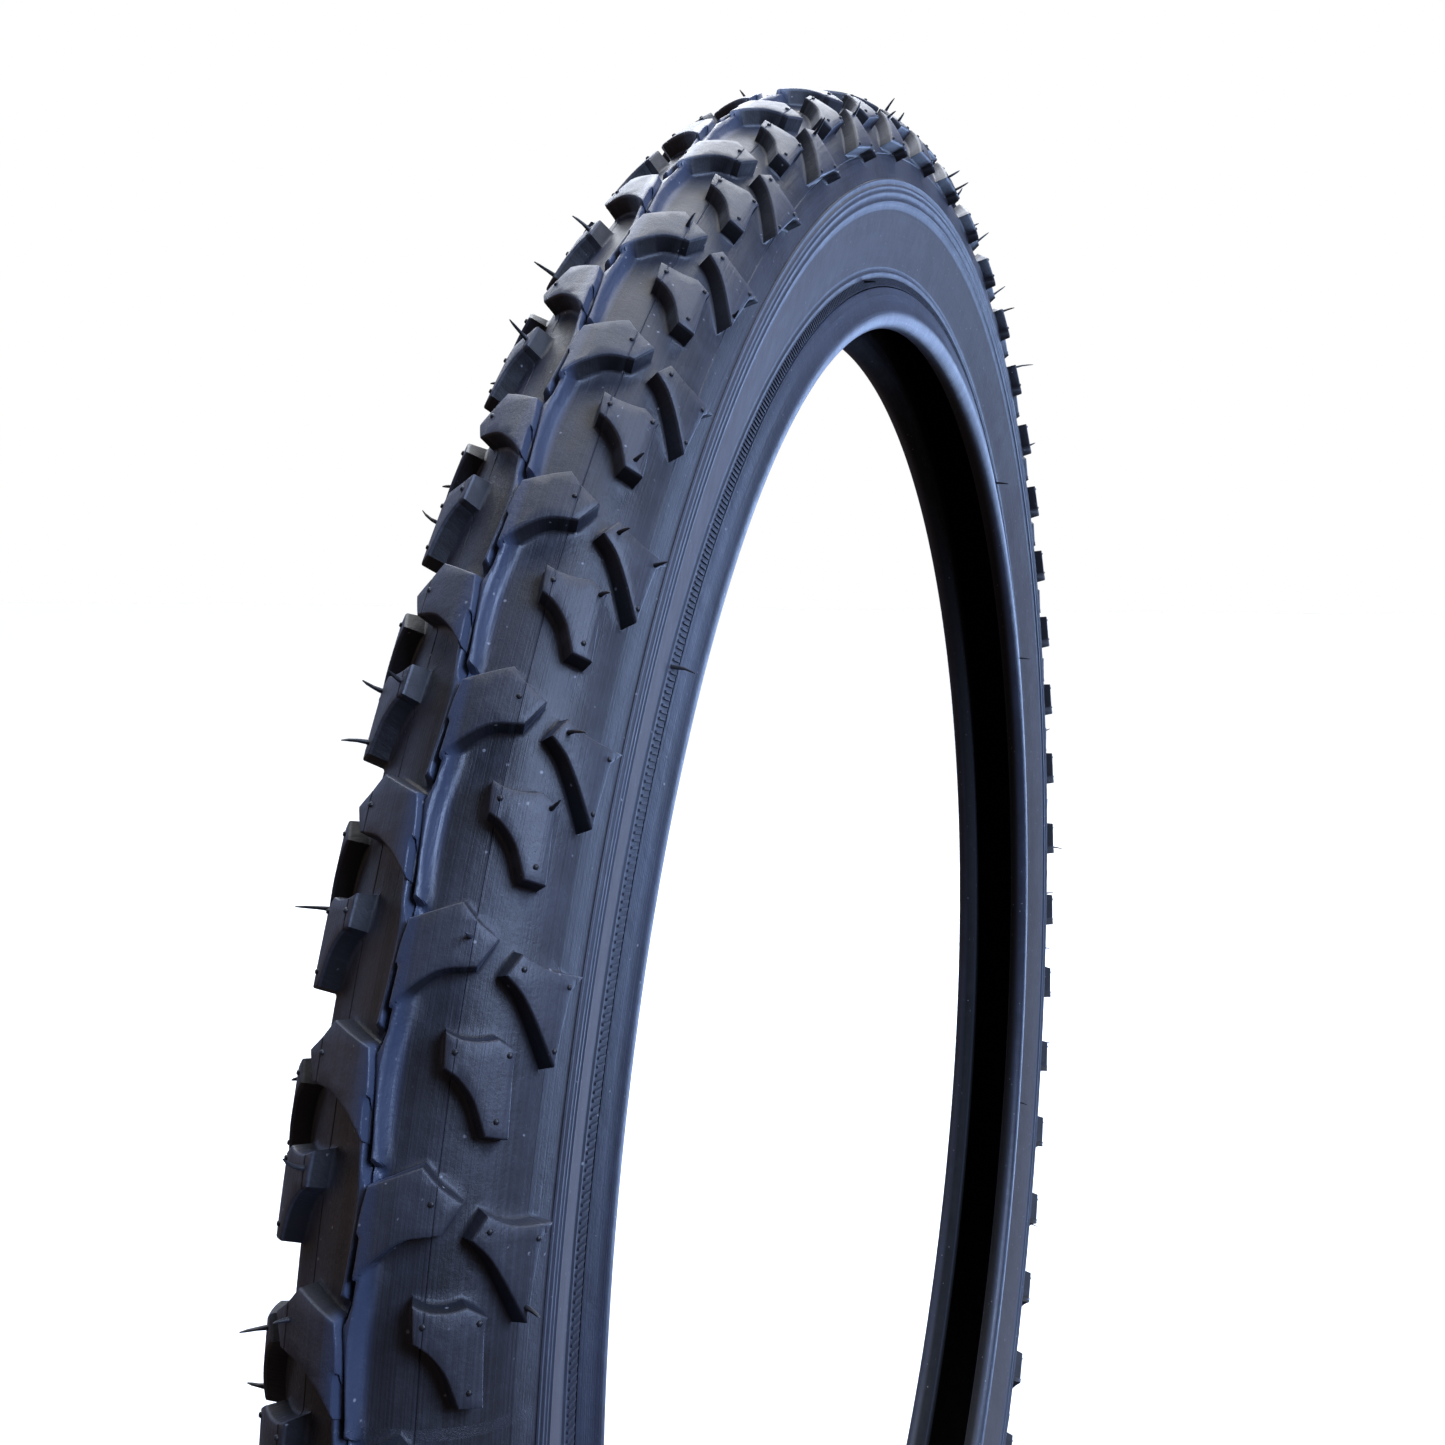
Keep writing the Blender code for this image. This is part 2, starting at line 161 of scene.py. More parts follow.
class Dresser:
    """Builds the nodes of a material or of the world."""

    def __init__(self, owner: bpy.types.Material | bpy.types.World, shader: str = "Principled BSDF") -> None:
        """Starts with the shader that Blender puts there.

        Args:
            owner: The new material or world.
            shader: The name of its shader node.
        """
        owner.use_nodes = True
        self.owner = owner
        self.nodes = owner.node_tree.nodes
        self.links = owner.node_tree.links
        self.shader = self.nodes[shader]

    def put(self, node: bpy.types.Node, key: int | str, value: object) -> None:
        """Sets or links one input socket of a node.

        Args:
            node: The node.
            key: The socket's number or name.
            value: A Signal to link, or a plain value.
        """
        if isinstance(value, Signal):
            self.links.new(value.socket, node.inputs[key])
        else:
            node.inputs[key].default_value = value

    def add(self, kind: str, settings: dict[str, object], inputs: dict[int | str, object]) -> list[Signal]:
        """Adds a node of any type.

        Args:
            kind: The node's type.
            settings: Its properties, set before its sockets.
            inputs: The values or links of its sockets.

        Returns:
            Its outputs, in order.
        """
        node = self.nodes.new(kind)
        for key, value in settings.items():
            setattr(node, key, value)
        for key, value in inputs.items():
            self.put(node, key, value)
        return [Signal(self, socket) for socket in node.outputs]

    def where(self) -> Signal:
        """The place on the object, in metres."""
        return self.add("ShaderNodeTexCoord", {}, {})[3]

    def flow(self) -> Signal:
        """The lengths round and across the tire and the height over its skin, where a mesh states them."""
        return self.add("ShaderNodeAttribute", {"attribute_name": "flow"}, {})[1]

    def split(self, vector: Signal) -> list[Signal]:
        """The three parts of a vector."""
        return self.add("ShaderNodeSeparateXYZ", {}, {0: vector})

    def noise(self, where: Signal, scale: float, detail: float = 3.0, roughness: float = 0.55) -> Signal:
        """Smooth noise around 0.5.

        Args:
            where: The coordinates.
            scale: Features per metre.
            detail: Octaves.
            roughness: How strong the finer octaves are.

        Returns:
            The noise's value.
        """
        inputs = {"Vector": where, "Scale": scale, "Detail": detail, "Roughness": roughness}
        return self.add("ShaderNodeTexNoise", {}, inputs)[0]

    def stretched(self, where: Signal, scale: Sequence[float]) -> Signal:
        """Coordinates scaled along each axis."""
        inputs = {0: where, 1: tuple(scale)}
        return self.add("ShaderNodeVectorMath", {"operation": "MULTIPLY"}, inputs)[0]

    def blend(self, share: Signal, first: Color | Signal, second: Color | Signal) -> Signal:
        """A colour between two others: the first where share is 0, the second where it is 1."""
        return self.add("ShaderNodeMix", {"data_type": "RGBA"}, {0: share, 6: first, 7: second})[2]

    def bump(self, height: Signal) -> Signal:
        """A normal bent by a height in millimetres."""
        return self.add("ShaderNodeBump", {}, {"Strength": 1.0, "Distance": MM, "Height": height})[0]

    def finish(self, **sockets: object) -> bpy.types.Material | bpy.types.World:
        """Sets the shader's own sockets.

        Args:
            sockets: Their values or links by name, with _ for a space.

        Returns:
            The finished material or world.
        """
        for name, value in sockets.items():
            self.put(self.shader, name.replace("_", " "), value)
        return self.owner


@dataclass(frozen=True)
class Area:
    """A part of a rubber piece that looks different: where it is, its colour, and how much rougher it is."""

    mask: Signal
    color: Color
    rougher: float


@dataclass(frozen=True)
class RubberFinish:
    """Moulded black rubber: a fine grain, faint flow lines round the tire, dust and worn bloom."""

    name: str
    deep: Color
    worn: Color
    roughness: float = 0.46
    grain: float = 0.045 * MM
    wrinkles: float = 0.14 * MM
    lines: float = 0.06 * MM
    cloud_scale: float = 38.0
    patch_scale: float = 260.0
    grain_scale: float = 2600.0
    line_scale: tuple[float, float, float] = (9.0, 2600.0, 1.0)
    dust: Color = (0.32, 0.32, 0.34, 1.0)
    dust_amount: float = 0.6
    speck_scale: float = 520.0
    dusty_scale: float = 700.0
    sheen_tint: Color = (0.55, 0.65, 1.0, 1.0)

    def wear_and_highlight(self, height: Signal) -> Signal | float:
        """How much lighter a place is by its height over the skin, from wear and a painted highlight: no
        more on a plain piece.
        """
        return 0.0

    def areas(self, dresser: Dresser, where: Signal, flow: list[Signal]) -> list[Area]:
        """The parts that look different: none on a plain piece."""
        return []

    def dust_mask(self, dresser: Dresser, where: Signal) -> Signal:
        """Where single specks of dust lie.

        Args:
            dresser: The material's builder.
            where: The place on the object.

        Returns:
            The mask.
        """
        cells = dresser.add("ShaderNodeTexVoronoi", {}, {"Vector": where, "Scale": self.speck_scale})[0]
        dusty = dresser.noise(where, self.dusty_scale, detail=1.0).ramp(0.56, 0.62)
        return (1.0 - cells.ramp(0.06, 0.16)) * dusty * self.dust_amount

    def material(self) -> bpy.types.Material:
        """Makes the material.

        Returns:
            The rubber's material.
        """
        dresser = Dresser(bpy.data.materials.new(self.name))
        where, flow = dresser.where(), dresser.flow()
        parts = dresser.split(flow)
        cloud = dresser.noise(where, self.cloud_scale, detail=4.0)
        patches = dresser.noise(where, self.patch_scale, detail=3.0, roughness=0.65)
        grain = dresser.noise(where, self.grain_scale, detail=4.0, roughness=0.7)
        lines = dresser.noise(dresser.stretched(flow, self.line_scale), 1.0, detail=3.0, roughness=0.6)

        bloom = cloud.ramp(0.35, 0.75) * 0.5 + patches.ramp(0.45, 0.8) * 0.3 + lines.ramp(0.35, 0.65) * 0.3
        # The bloom is real wear; on the tread the knob tops are also lifted towards the worn colour as a
        # painted highlight.
        color = dresser.blend(bloom + self.wear_and_highlight(parts[2]), self.deep, self.worn)
        roughness = self.roughness + (patches - 0.5) * 0.22 + (cloud - 0.5) * 0.16 + (lines - 0.5) * 0.12
        for area in self.areas(dresser, where, parts):
            color = dresser.blend(area.mask, color, area.color)
            roughness = roughness + area.mask * area.rougher
        relief = grain * (self.grain / MM) + patches * (self.wrinkles / MM)
        relief = relief + (lines - 0.5) * (self.lines / MM)
        return dresser.finish(
            Base_Color=dresser.blend(self.dust_mask(dresser, where), color, self.dust),
            Roughness=roughness,
            Normal=dresser.bump(relief),
            Specular_IOR_Level=0.42,
            Sheen_Weight=0.10,
            Sheen_Roughness=0.45,
            Sheen_Tint=self.sheen_tint,
        )


@dataclass(frozen=True)
class TreadFinish(RubberFinish):
    """Tread rubber: knob tops lighter from wear and a painted highlight, knob walls darkened as painted
    shade, and a painted blue sheen along the middle of the tread.
    """

    top: tuple[float, float] = (2.4 * MM, 3.0 * MM)
    # Knob tops lighter: partly wear and dust, partly a painted highlight.
    top_wear_and_highlight: float = 0.35
    middle: tuple[float, float] = (1.3 * MM, 3.12 * MM)
    # Painted blue sheen along the tread's middle, where the tie strips catch the light.
    middle_sheen_color: Color = (0.040, 0.051, 0.084, 1.0)
    wall_foot: tuple[float, float] = (0.05 * MM, 0.5 * MM)
    wall_top: tuple[float, float] = (2.6 * MM, 2.9 * MM)
    # Painted shade: near black on the knobs' walls, which face away from the light.
    wall_shade_color: Color = (0.006, 0.006, 0.008, 1.0)

    def wear_and_highlight(self, height: Signal) -> Signal:
        """More on the knobs' tops: partly wear and dust, partly a painted highlight where the tops face the
        light.
        """
        return height.ramp(*self.top) * self.top_wear_and_highlight

    def areas(self, dresser: Dresser, where: Signal, flow: list[Signal]) -> list[Area]:
        """The tread's middle with its painted blue sheen, and the knobs' walls outside it with their painted
        shade.

        Args:
            dresser: Not used here.
            where: Not used here.
            flow: The lengths round and across and the height over the floor.

        Returns:
            The two areas.
        """
        across, height = flow[1:]
        # The middle carries a painted blue sheen.
        aside = (across * across).ramp(*(reach**2 for reach in self.middle))
        middle = 1.0 - aside
        # Painted shade on the knob walls between their foot and top, outside the middle.
        shaded_walls = height.ramp(*self.wall_foot) * (1.0 - height.ramp(*self.wall_top)) * (1.0 - middle)
        return [Area(middle, self.middle_sheen_color, -0.08), Area(shaded_walls, self.wall_shade_color, 0.15)]


@dataclass(frozen=True)
class WallFinish(RubberFinish):
    """Sidewall rubber with a plain brown-black band between two distances from the axis."""

    band: tuple[float, float] = (216.6 * MM, 228.6 * MM)
    band_edge: float = 0.25 * MM
    band_color: Color = (0.058, 0.049, 0.045, 1.0)

    def areas(self, dresser: Dresser, where: Signal, flow: list[Signal]) -> list[Area]:
        """The plain band.

        Args:
            dresser: The material's builder.
            where: The place on the object.
            flow: Not used here.

        Returns:
            The band's area.
        """
        upright = dresser.stretched(where, (1.0, 0.0, 1.0))
        reach = dresser.add("ShaderNodeVectorMath", {"operation": "LENGTH"}, {0: upright})[1]
        low, high = self.band
        band = reach.ramp(low - self.band_edge, low) * (1.0 - reach.ramp(high, high + self.band_edge))
        return [Area(band, self.band_color, 0.22)]


@dataclass(frozen=True)
class ChaferFinish(RubberFinish):
    """Chafer rubber whose face nearer to the middle plane than the bead wire is painted near black as shade.
    """

    inner_edge: float = 12.0 * MM
    # Painted shade: the cavity side of the chafer, near black.
    inner_shade_color: Color = (0.003, 0.003, 0.003, 1.0)

    def areas(self, dresser: Dresser, where: Signal, flow: list[Signal]) -> list[Area]:
        """The chafer's inner face, darkened as painted shade.

        Args:
            dresser: The material's builder.
            where: The place on the object.
            flow: Not used here.

        Returns:
            The inner face's area.
        """
        across = dresser.split(where)[1]
        outside = (across * across).ramp((self.inner_edge * 0.9) ** 2, (self.inner_edge * 1.1) ** 2)
        # Painted shade on the inner face.
        return [Area(1.0 - outside, self.inner_shade_color, 0.45)]


@dataclass(frozen=True)
class ClothFinish:
    """Rubber-coated tire cord: two crossing sets of fine parallel cords under a thin skin."""

    name: str
    deep: Color
    raised: Color
    roughness: float = 0.78
    cords_per_metre: float = 900.0
    relief: float = 0.10 * MM

    def material(self) -> bpy.types.Material:
        """Makes the material.

        Returns:
            The cloth's material.
        """
        dresser = Dresser(bpy.data.materials.new(self.name))
        along, across, _ = dresser.split(dresser.flow())
        turn = math.tau * self.cords_per_metre
        one = ((along + across) * turn).sine()
        other = ((along - across) * turn).sine()
        cords = (one * 0.5 + 0.5) * 0.65 + (other * 0.5 + 0.5) * 0.35
        patches = dresser.noise(dresser.where(), 120.0, detail=4.0)
        return dresser.finish(
            Base_Color=dresser.blend(cords * 0.6 + patches * 0.4, self.deep, self.raised),
            Roughness=self.roughness + (patches - 0.5) * 0.2,
            Normal=dresser.bump(cords * (self.relief / MM) + patches * 0.05),
            Specular_IOR_Level=0.3,
        )


@dataclass(frozen=True)
class SteelFinish:
    """Drawn steel wire with a thin brass wash."""

    name: str
    bright: Color = (0.62, 0.60, 0.56, 1.0)
    washed: Color = (0.52, 0.40, 0.22, 1.0)
    scratch_scale: tuple[float, float, float] = (300.0, 4000.0, 300.0)

    def material(self) -> bpy.types.Material:
        """Makes the material.

        Returns:
            The steel's material.
        """
        dresser = Dresser(bpy.data.materials.new(self.name))
        where = dresser.where()
        stain = dresser.noise(where, 60.0, detail=5.0).ramp(0.4, 0.7)
        scratches = dresser.noise(dresser.stretched(where, self.scratch_scale), 1.0, detail=2.0)
        return dresser.finish(
            Base_Color=dresser.blend(stain, self.bright, self.washed),
            Roughness=0.26 + scratches * 0.22,
            Metallic=1.0,
            Normal=dresser.bump(scratches * 0.02),
        )


@dataclass(frozen=True)
class BackdropFinish:
    """The studio floor: plain pale paper."""

    name: str = "studio_paper"
    color: Color = (0.93, 0.93, 0.93, 1.0)

    def material(self) -> bpy.types.Material:
        """Makes the material."""
        dresser = Dresser(bpy.data.materials.new(self.name))
        return dresser.finish(Base_Color=self.color, Roughness=0.9, Specular_IOR_Level=0.1)


# ---------------------------------------------------------------- shapes shared by the pieces


def ring_reach(node: str) -> tuple[float, float]:
    """The least and greatest distance of a CAD node from the axis of spin.

    Args:
        node: The CAD node's name.

    Returns:
        The inner and the outer radius, in metres.
    """
    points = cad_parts[node].data.vertices
    reaches = [math.hypot(point.co.x, point.co.z) for point in points]
    return min(reaches), max(reaches)


def arc_points(centre: Place, radius: float, start: float, end: float, count: int) -> list[Place]:
    """Points along an arc of a cross-section.

    Args:
        centre: The arc's centre.
        radius: Its radius.
        start: Degrees at its start, 0 being straight across and 90 straight out from the axis.
        end: Degrees at its end.
        count: How many points.

    Returns:
        The points.
    """
    turns = [math.radians(start + (end - start) * step / (count - 1)) for step in range(count)]
    return [(centre[0] + radius * math.cos(turn), centre[1] + radius * math.sin(turn)) for turn in turns]


@dataclass
class TireSection:
    """The tire's cross-section, with its overall sizes taken from the frame."""

    outer_radius: float = CAD_HIGH.z
    knob_height: float = 3.2 * MM
    tread_half_width: float = 19.5 * MM
    crown_end: float = 80.0
    shoulder_flare: float = 0.55 * MM
    shoulder_face: float = 3.4 * MM
    belly_drop: float = 3.6 * MM
    waist_inset: float = 2.3 * MM
    waist_height: float = 9.4 * MM
    chafer_height: float = 6.2 * MM
    piece_gap: float = 0.3 * MM
    pitches: int = 50
    phase: float = math.radians(5.34)

    def __post_init__(self) -> None:
        """Works out what follows from the sizes."""
        self.crown_radius = self.tread_half_width - self.knob_height
        self.crown_centre = self.outer_radius - self.tread_half_width
        self.bead_half_width = -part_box("chafer_left")[0].y
        self.bead_radius = ring_reach("chafer_left")[0]
        self.bead_half_size = sum(ring_reach("bead_wire_left")) / 2 - self.bead_radius
        self.wire = (self.bead_half_width - self.bead_half_size, self.bead_radius + self.bead_half_size)
        end = self.crown(self.crown_end, 0.0)
        self.edge = (end[0] + self.shoulder_flare, end[1] - self.shoulder_face)
        self.belly = (self.edge[0], self.edge[1] - self.belly_drop)
        self.waist = (self.bead_half_width - self.waist_inset, self.wire[1] + self.waist_height)
        self.face_length = math.dist(end, self.edge)

    def crown(self, degrees: float, height: float) -> Place:
        """A place over the crown's floor.

        Args:
            degrees: How far across the crown it is.
            height: How high it is over the floor.

        Returns:
            The place.
        """
        turn = math.radians(degrees)
        reach = self.crown_radius + height
        return reach * math.sin(turn), self.crown_centre + reach * math.cos(turn)

    def lower_wall(self, height: float) -> Place:
        """The place on the sidewall's lower slope that is this high over the bead wire's middle."""
        inset = self.waist_inset * height / self.waist_height
        return self.bead_half_width - inset, self.wire[1] + height

    @property
    def degree_length(self) -> float:
        """Length across a knob's top for one degree, in metres."""
        return self.tread_half_width * math.radians(1)

    @property
    def pitch_length(self) -> float:
        """Length of one pitch along the tread's drawing, in metres."""
        return math.tau * (self.outer_radius - 2 * self.knob_height) / self.pitches

    @property
    def half_span(self) -> float:
        """Length across the tread's drawing from its middle to its edge, in metres."""
        return self.crown_end * self.degree_length + self.face_length

    def tread_place(self, across: np.ndarray, height: np.ndarray) -> tuple[np.ndarray, np.ndarray]:
        """The cross-section places of points of the tread's drawing.

        Args:
            across: Their lengths across the drawing.
            height: Their heights over the floor.

        Returns:
            The places' across values and radii.
        """
        length = np.abs(across)
        end_length = self.crown_end * self.degree_length
        turn = np.minimum(length, end_length) / self.tread_half_width
        reach = self.crown_radius + height
        beyond = np.clip((length - end_length) / self.face_length, 0.0, 1.0)
        end = self.crown(self.crown_end, 0.0)
        out = reach * np.sin(turn) + beyond * (self.edge[0] - end[0])
        up = self.crown_centre + reach * np.cos(turn) + beyond * (self.edge[1] - end[1])
        return np.where(across < 0, -out, out), up

    def turned(self, angle: np.ndarray, across: np.ndarray, radius: np.ndarray) -> np.ndarray:
        """Points round the wheel, angle 0 being its -X side and growing towards +Z."""
        angle, across, radius = np.broadcast_arrays(angle, across, radius)
        return np.stack([-radius * np.cos(angle), -across, radius * np.sin(angle)], axis=-1)


def make_piece(
    name: str,
    points: np.ndarray,
    faces: Iterable[Sequence[int]],
    material: bpy.types.Material,
    flow: np.ndarray | None = None,
    sharp: float = 40.0,
    replaces: Sequence[str] = (),
) -> bpy.types.Object:
    """Makes a mesh object that rides on the tire.

    Args:
        name: The object's name.
        points: Its corners.
        faces: Its faces.
        material: Its material.
        flow: Each corner's length round and across the tire and height, for the material.
        sharp: Degrees above which an edge is shaded as an edge.
        replaces: The CAD nodes that it stands for.

    Returns:
        The object.
    """
    mesh = bpy.data.meshes.new(name)
    mesh.from_pydata(points.tolist(), [], [tuple(face) for face in faces])
    shape = bmesh.new()
    shape.from_mesh(mesh)
    bmesh.ops.recalc_face_normals(shape, faces=shape.faces)
    shape.to_mesh(mesh)
    shape.free()
    mesh.shade_smooth()
    mesh.set_sharp_from_angle(angle=math.radians(sharp))
    if flow is not None:
        layer = mesh.attributes.new("flow", "FLOAT_VECTOR", "POINT")
        layer.data.foreach_set("vector", flow.astype(np.float32).ravel())
    mesh.materials.append(material)
    piece = bpy.data.objects.new(name, mesh)
    bpy.context.scene.collection.objects.link(piece)
    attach(piece, BODY)
    if replaces:
        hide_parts(*replaces)
    LOG.info("%s: %d faces", name, len(mesh.polygons))
    return piece


def turn_section(
    section: TireSection, outline: Sequence[Place], steps: int
) -> tuple[np.ndarray, Faces, np.ndarray]:
    """Turns a closed outline once round the wheel.

    Args:
        section: The tire's cross-section.
        outline: The closed outline.
        steps: How many steps round.

    Returns:
        The points, the faces and the flow coordinates.
    """
    across, radius = np.array(outline).T
    lengths = np.concatenate([[0.0], np.cumsum(np.hypot(np.diff(across), np.diff(radius)))])
    angles = np.arange(steps)[:, None] * math.tau / steps
    grid = section.turned(angles, across, radius)
    flow = np.stack(np.broadcast_arrays(angles * section.wire[1], lengths, 0.0), axis=-1)
    index = np.arange(steps * len(outline)).reshape(steps, -1)
    after = np.roll(index, -1, axis=0)
    quads = np.stack([index, np.roll(index, -1, axis=1), np.roll(after, -1, axis=1), after], axis=-1)
    return grid.reshape(-1, 3), quads.reshape(-1, 4).tolist(), flow.reshape(-1, 3)


def merged(meshes: Iterable[tuple[np.ndarray, Faces]]) -> tuple[np.ndarray, Faces]:
    """Several meshes as one.

    Args:
        meshes: The points and the faces of each.

    Returns:
        All the points and all the faces.
    """
    points: list[np.ndarray] = []
    faces: Faces = []
    count = 0
    for corners, skin in meshes:
        faces += [tuple(corner + count for corner in face) for face in skin]
        points.append(corners)
        count += len(corners)
    return np.concatenate(points), faces


def mirrored(outline: Sequence[Place], side: Side) -> list[Place]:
    """The outline as it is on this side of the tire."""
    return [(side.value * across, radius) for across, radius in outline]


# ---------------------------------------------------------------- the tread

CORNER, CURVE = Turn.CORNER, Turn.CURVE
OutlinePoint = tuple[float, float, Turn]

CENTRE_KNOB: tuple[OutlinePoint, ...] = (
    (1.100, 0.2, CORNER),
    (1.150, 0.2, CURVE),
    (1.256, 0.9, CURVE),
    (1.372, 2.0, CURVE),
    (1.460, 3.6, CORNER),
    (1.484, 9.3, CURVE),
    (1.546, 22.6, CORNER),
    (1.476, 29.7, CURVE),
    (1.424, 38.1, CORNER),
    (1.305, 31.6, CORNER),
    (1.283, 20.1, CURVE),
    (1.243, 13.3, CURVE),
    (1.182, 6.8, CURVE),
)
TRANSITION_KNOB: tuple[OutlinePoint, ...] = (
    (1.048, 24.2, CORNER),
    (1.027, 30.0, CURVE),
    (1.027, 37.8, CURVE),
    (1.044, 43.5, CORNER),
    (1.004, 51.6, CORNER),
    (0.955, 50.6, CURVE),
    (0.669, 52.2, CORNER),
    (0.675, 43.1, CORNER),
    (0.736, 40.6, CURVE),
    (0.812, 37.0, CURVE),
    (0.880, 31.0, CURVE),
    (0.913, 25.5, CORNER),
)
SHOULDER_KNOB: tuple[OutlinePoint, ...] = (
    (1.383, 47.6, CORNER),
    (1.355, 53.7, CURVE),
    (1.339, 61.7, CURVE),
    (1.345, 77.6, CORNER),
    (1.278, 71.6, CORNER),
    (1.033, 69.1, CURVE),
    (0.962, 68.4, CORNER),
    (1.047, 62.6, CURVE),
    (1.139, 56.6, CURVE),
    (1.232, 49.6, CURVE),
    (1.290, 42.7, CORNER),
)
TIE_STRIP: tuple[OutlinePoint, ...] = (
    (1.035, -1.0, CORNER),
    (1.136, -0.6, CURVE),
    (1.256, 0.3, CURVE),
    (1.372, 1.6, CURVE),
    (1.450, 2.6, CURVE),
    (1.510, 1.2, CURVE),
    (1.560, 0.0, CURVE),
    (1.652, -1.0, CURVE),
    (1.715, -2.6, CORNER),
    (1.705, -5.6, CORNER),
    (1.600, -4.8, CURVE),
    (1.500, -3.4, CURVE),
    (1.380, -2.4, CURVE),
    (1.250, -2.9, CURVE),
    (1.130, -4.0, CURVE),
    (1.040, -5.2, CORNER),
)
TIE_SLIT: tuple[OutlinePoint, ...] = (
    (1.455, 1.9, CORNER),
    (1.530, 0.9, CURVE),
    (1.620, 0.8, CURVE),
    (1.770, -1.6, CORNER),
    (1.700, -1.3, CURVE),
    (1.610, -0.6, CURVE),
    (1.520, -0.2, CURVE),
)
VENT_NUBS: tuple[Place, ...] = (
    (1.418, 27.2),
    (0.978, 28.6),
    (0.988, 48.4),
    (0.735, 46.6),
    (1.325, 49.0),
    (1.290, 70.0),
    (1.026, 67.0),
)


def rounded_outline(points: Sequence[OutlinePoint], spacing: float, size: Place) -> np.ndarray:
    """A closed outline in metres, straight or smoothly curved between its corners.

    Args:
        points: The outline's points on the tread's drawing.
        spacing: The distance between the points returned.
        size: Metres for one pitch, and for one degree across.

    Returns:
        The points along it.
    """
    places = np.array([(along * size[0], across * size[1]) for along, across, _ in points])
    count = len(points)
    path: list[np.ndarray] = []
    for index in range(count):
        here, there = places[index], places[(index + 1) % count]
        before = here if points[index][2] is CORNER else places[index - 1]
        after = there if points[(index + 1) % count][2] is CORNER else places[(index + 2) % count]
        steps = max(1, round(float(np.linalg.norm(there - here)) / spacing))
        for step in range(steps):
            t = step / steps
            one = (there - before) * (0.5 if before is not here else 1.0)
            two = (after - here) * (0.5 if after is not there else 1.0)
            path.append(
                here * (1 + 2 * t) * (1 - t) ** 2
                + one * t * (1 - t) ** 2
                + there * t * t * (3 - 2 * t)
                + two * t * t * (t - 1)
            )
    return np.array(path)


def outset(outline: np.ndarray, distance: float) -> np.ndarray:
    """The outline grown by a distance, or shrunk by a negative one.

    Args:
        outline: A closed outline.
        distance: How far each point moves outward.

    Returns:
        The moved outline.
    """
    ahead = np.roll(outline, -1, axis=0) - outline
    ahead /= np.linalg.norm(ahead, axis=1)[:, None]
    sides = np.stack([ahead[:, 1], -ahead[:, 0]], axis=1)
    both = sides + np.roll(sides, 1, axis=0)
    both /= np.maximum(np.linalg.norm(both, axis=1), 1e-9)[:, None]
    stretch = np.minimum(1 / np.maximum((both * sides).sum(1), 0.2), 1.6)
    x, y = outline.T
    winding = np.sign(np.sum(x * np.roll(y, -1) - np.roll(x, -1) * y))
    return outline + both * (stretch * distance * winding)[:, None]


def signed_distance(points: np.ndarray, outline: np.ndarray) -> np.ndarray:
    """How deep each point lies inside the outline, negative outside.

    Args:
        points: The points.
        outline: A closed outline.

    Returns:
        The distances.
    """
    start, end = outline, np.roll(outline, -1, axis=0)
    step = end - start
    away = points[:, None, :] - start[None]
    share = np.clip((away * step).sum(-1) / (step * step).sum(-1), 0, 1)
    distance = np.linalg.norm(away - share[..., None] * step, axis=-1).min(1)
    crosses = (start[None, :, 1] > points[:, None, 1]) != (end[None, :, 1] > points[:, None, 1])
    rise = np.where(step[:, 1] == 0, 1.0, step[:, 1])
    where = step[None, :, 0] * (points[:, None, 1] - start[None, :, 1]) / rise + start[None, :, 0]
    inside = (crosses & (points[:, None, 0] < where)).sum(1) % 2 == 1
    return np.where(inside, distance, -distance)



@dataclass(frozen=True)
class Profile:
    """How a raised shape rises: its height, and the widths of its rounded edge, its wall and its foot."""

    height: float
    edge: float
    wall: float
    foot: float
    round_off: float
    foot_share: float

    @property
    def reach(self) -> float:
        """How far it reaches beyond its outline."""
        return self.wall + self.foot


@dataclass
class Relief:
    """A raised shape of the tread."""

    outline: np.ndarray
    profile: Profile

    def loops(self) -> list[np.ndarray]:
        """The outlines at which its surface changes direction.

        Returns:
            The loops, from the top's rounded edge out to the foot.
        """
        shape = self.profile
        top = (-shape.edge, -shape.edge * 0.4, 0.0)
        wall = (shape.wall, shape.wall + shape.foot * 0.4, shape.reach)
        return [outset(self.outline, distance) for distance in top + wall]

    def heights(self, points: np.ndarray) -> np.ndarray:
        """Its height over the tread's floor at each point.

        Args:
            points: Places on the tread's drawing.

        Returns:
            The heights.
        """
        shape = self.profile
        depth = signed_distance(points, self.outline)
        at_edge = np.clip(1 - depth / shape.edge, 0, 1)
        top = 1 - shape.round_off * at_edge**2
        on_wall = np.clip(-depth / shape.wall, 0, 1)
        wall = (1 - shape.round_off) * (1 - on_wall) + shape.foot_share * on_wall
        on_foot = np.clip(1 - (-depth - shape.wall) / shape.foot, 0, 1)
        foot = shape.foot_share * on_foot**2
        return shape.height * np.where(depth >= 0, top, np.where(-depth < shape.wall, wall, foot))


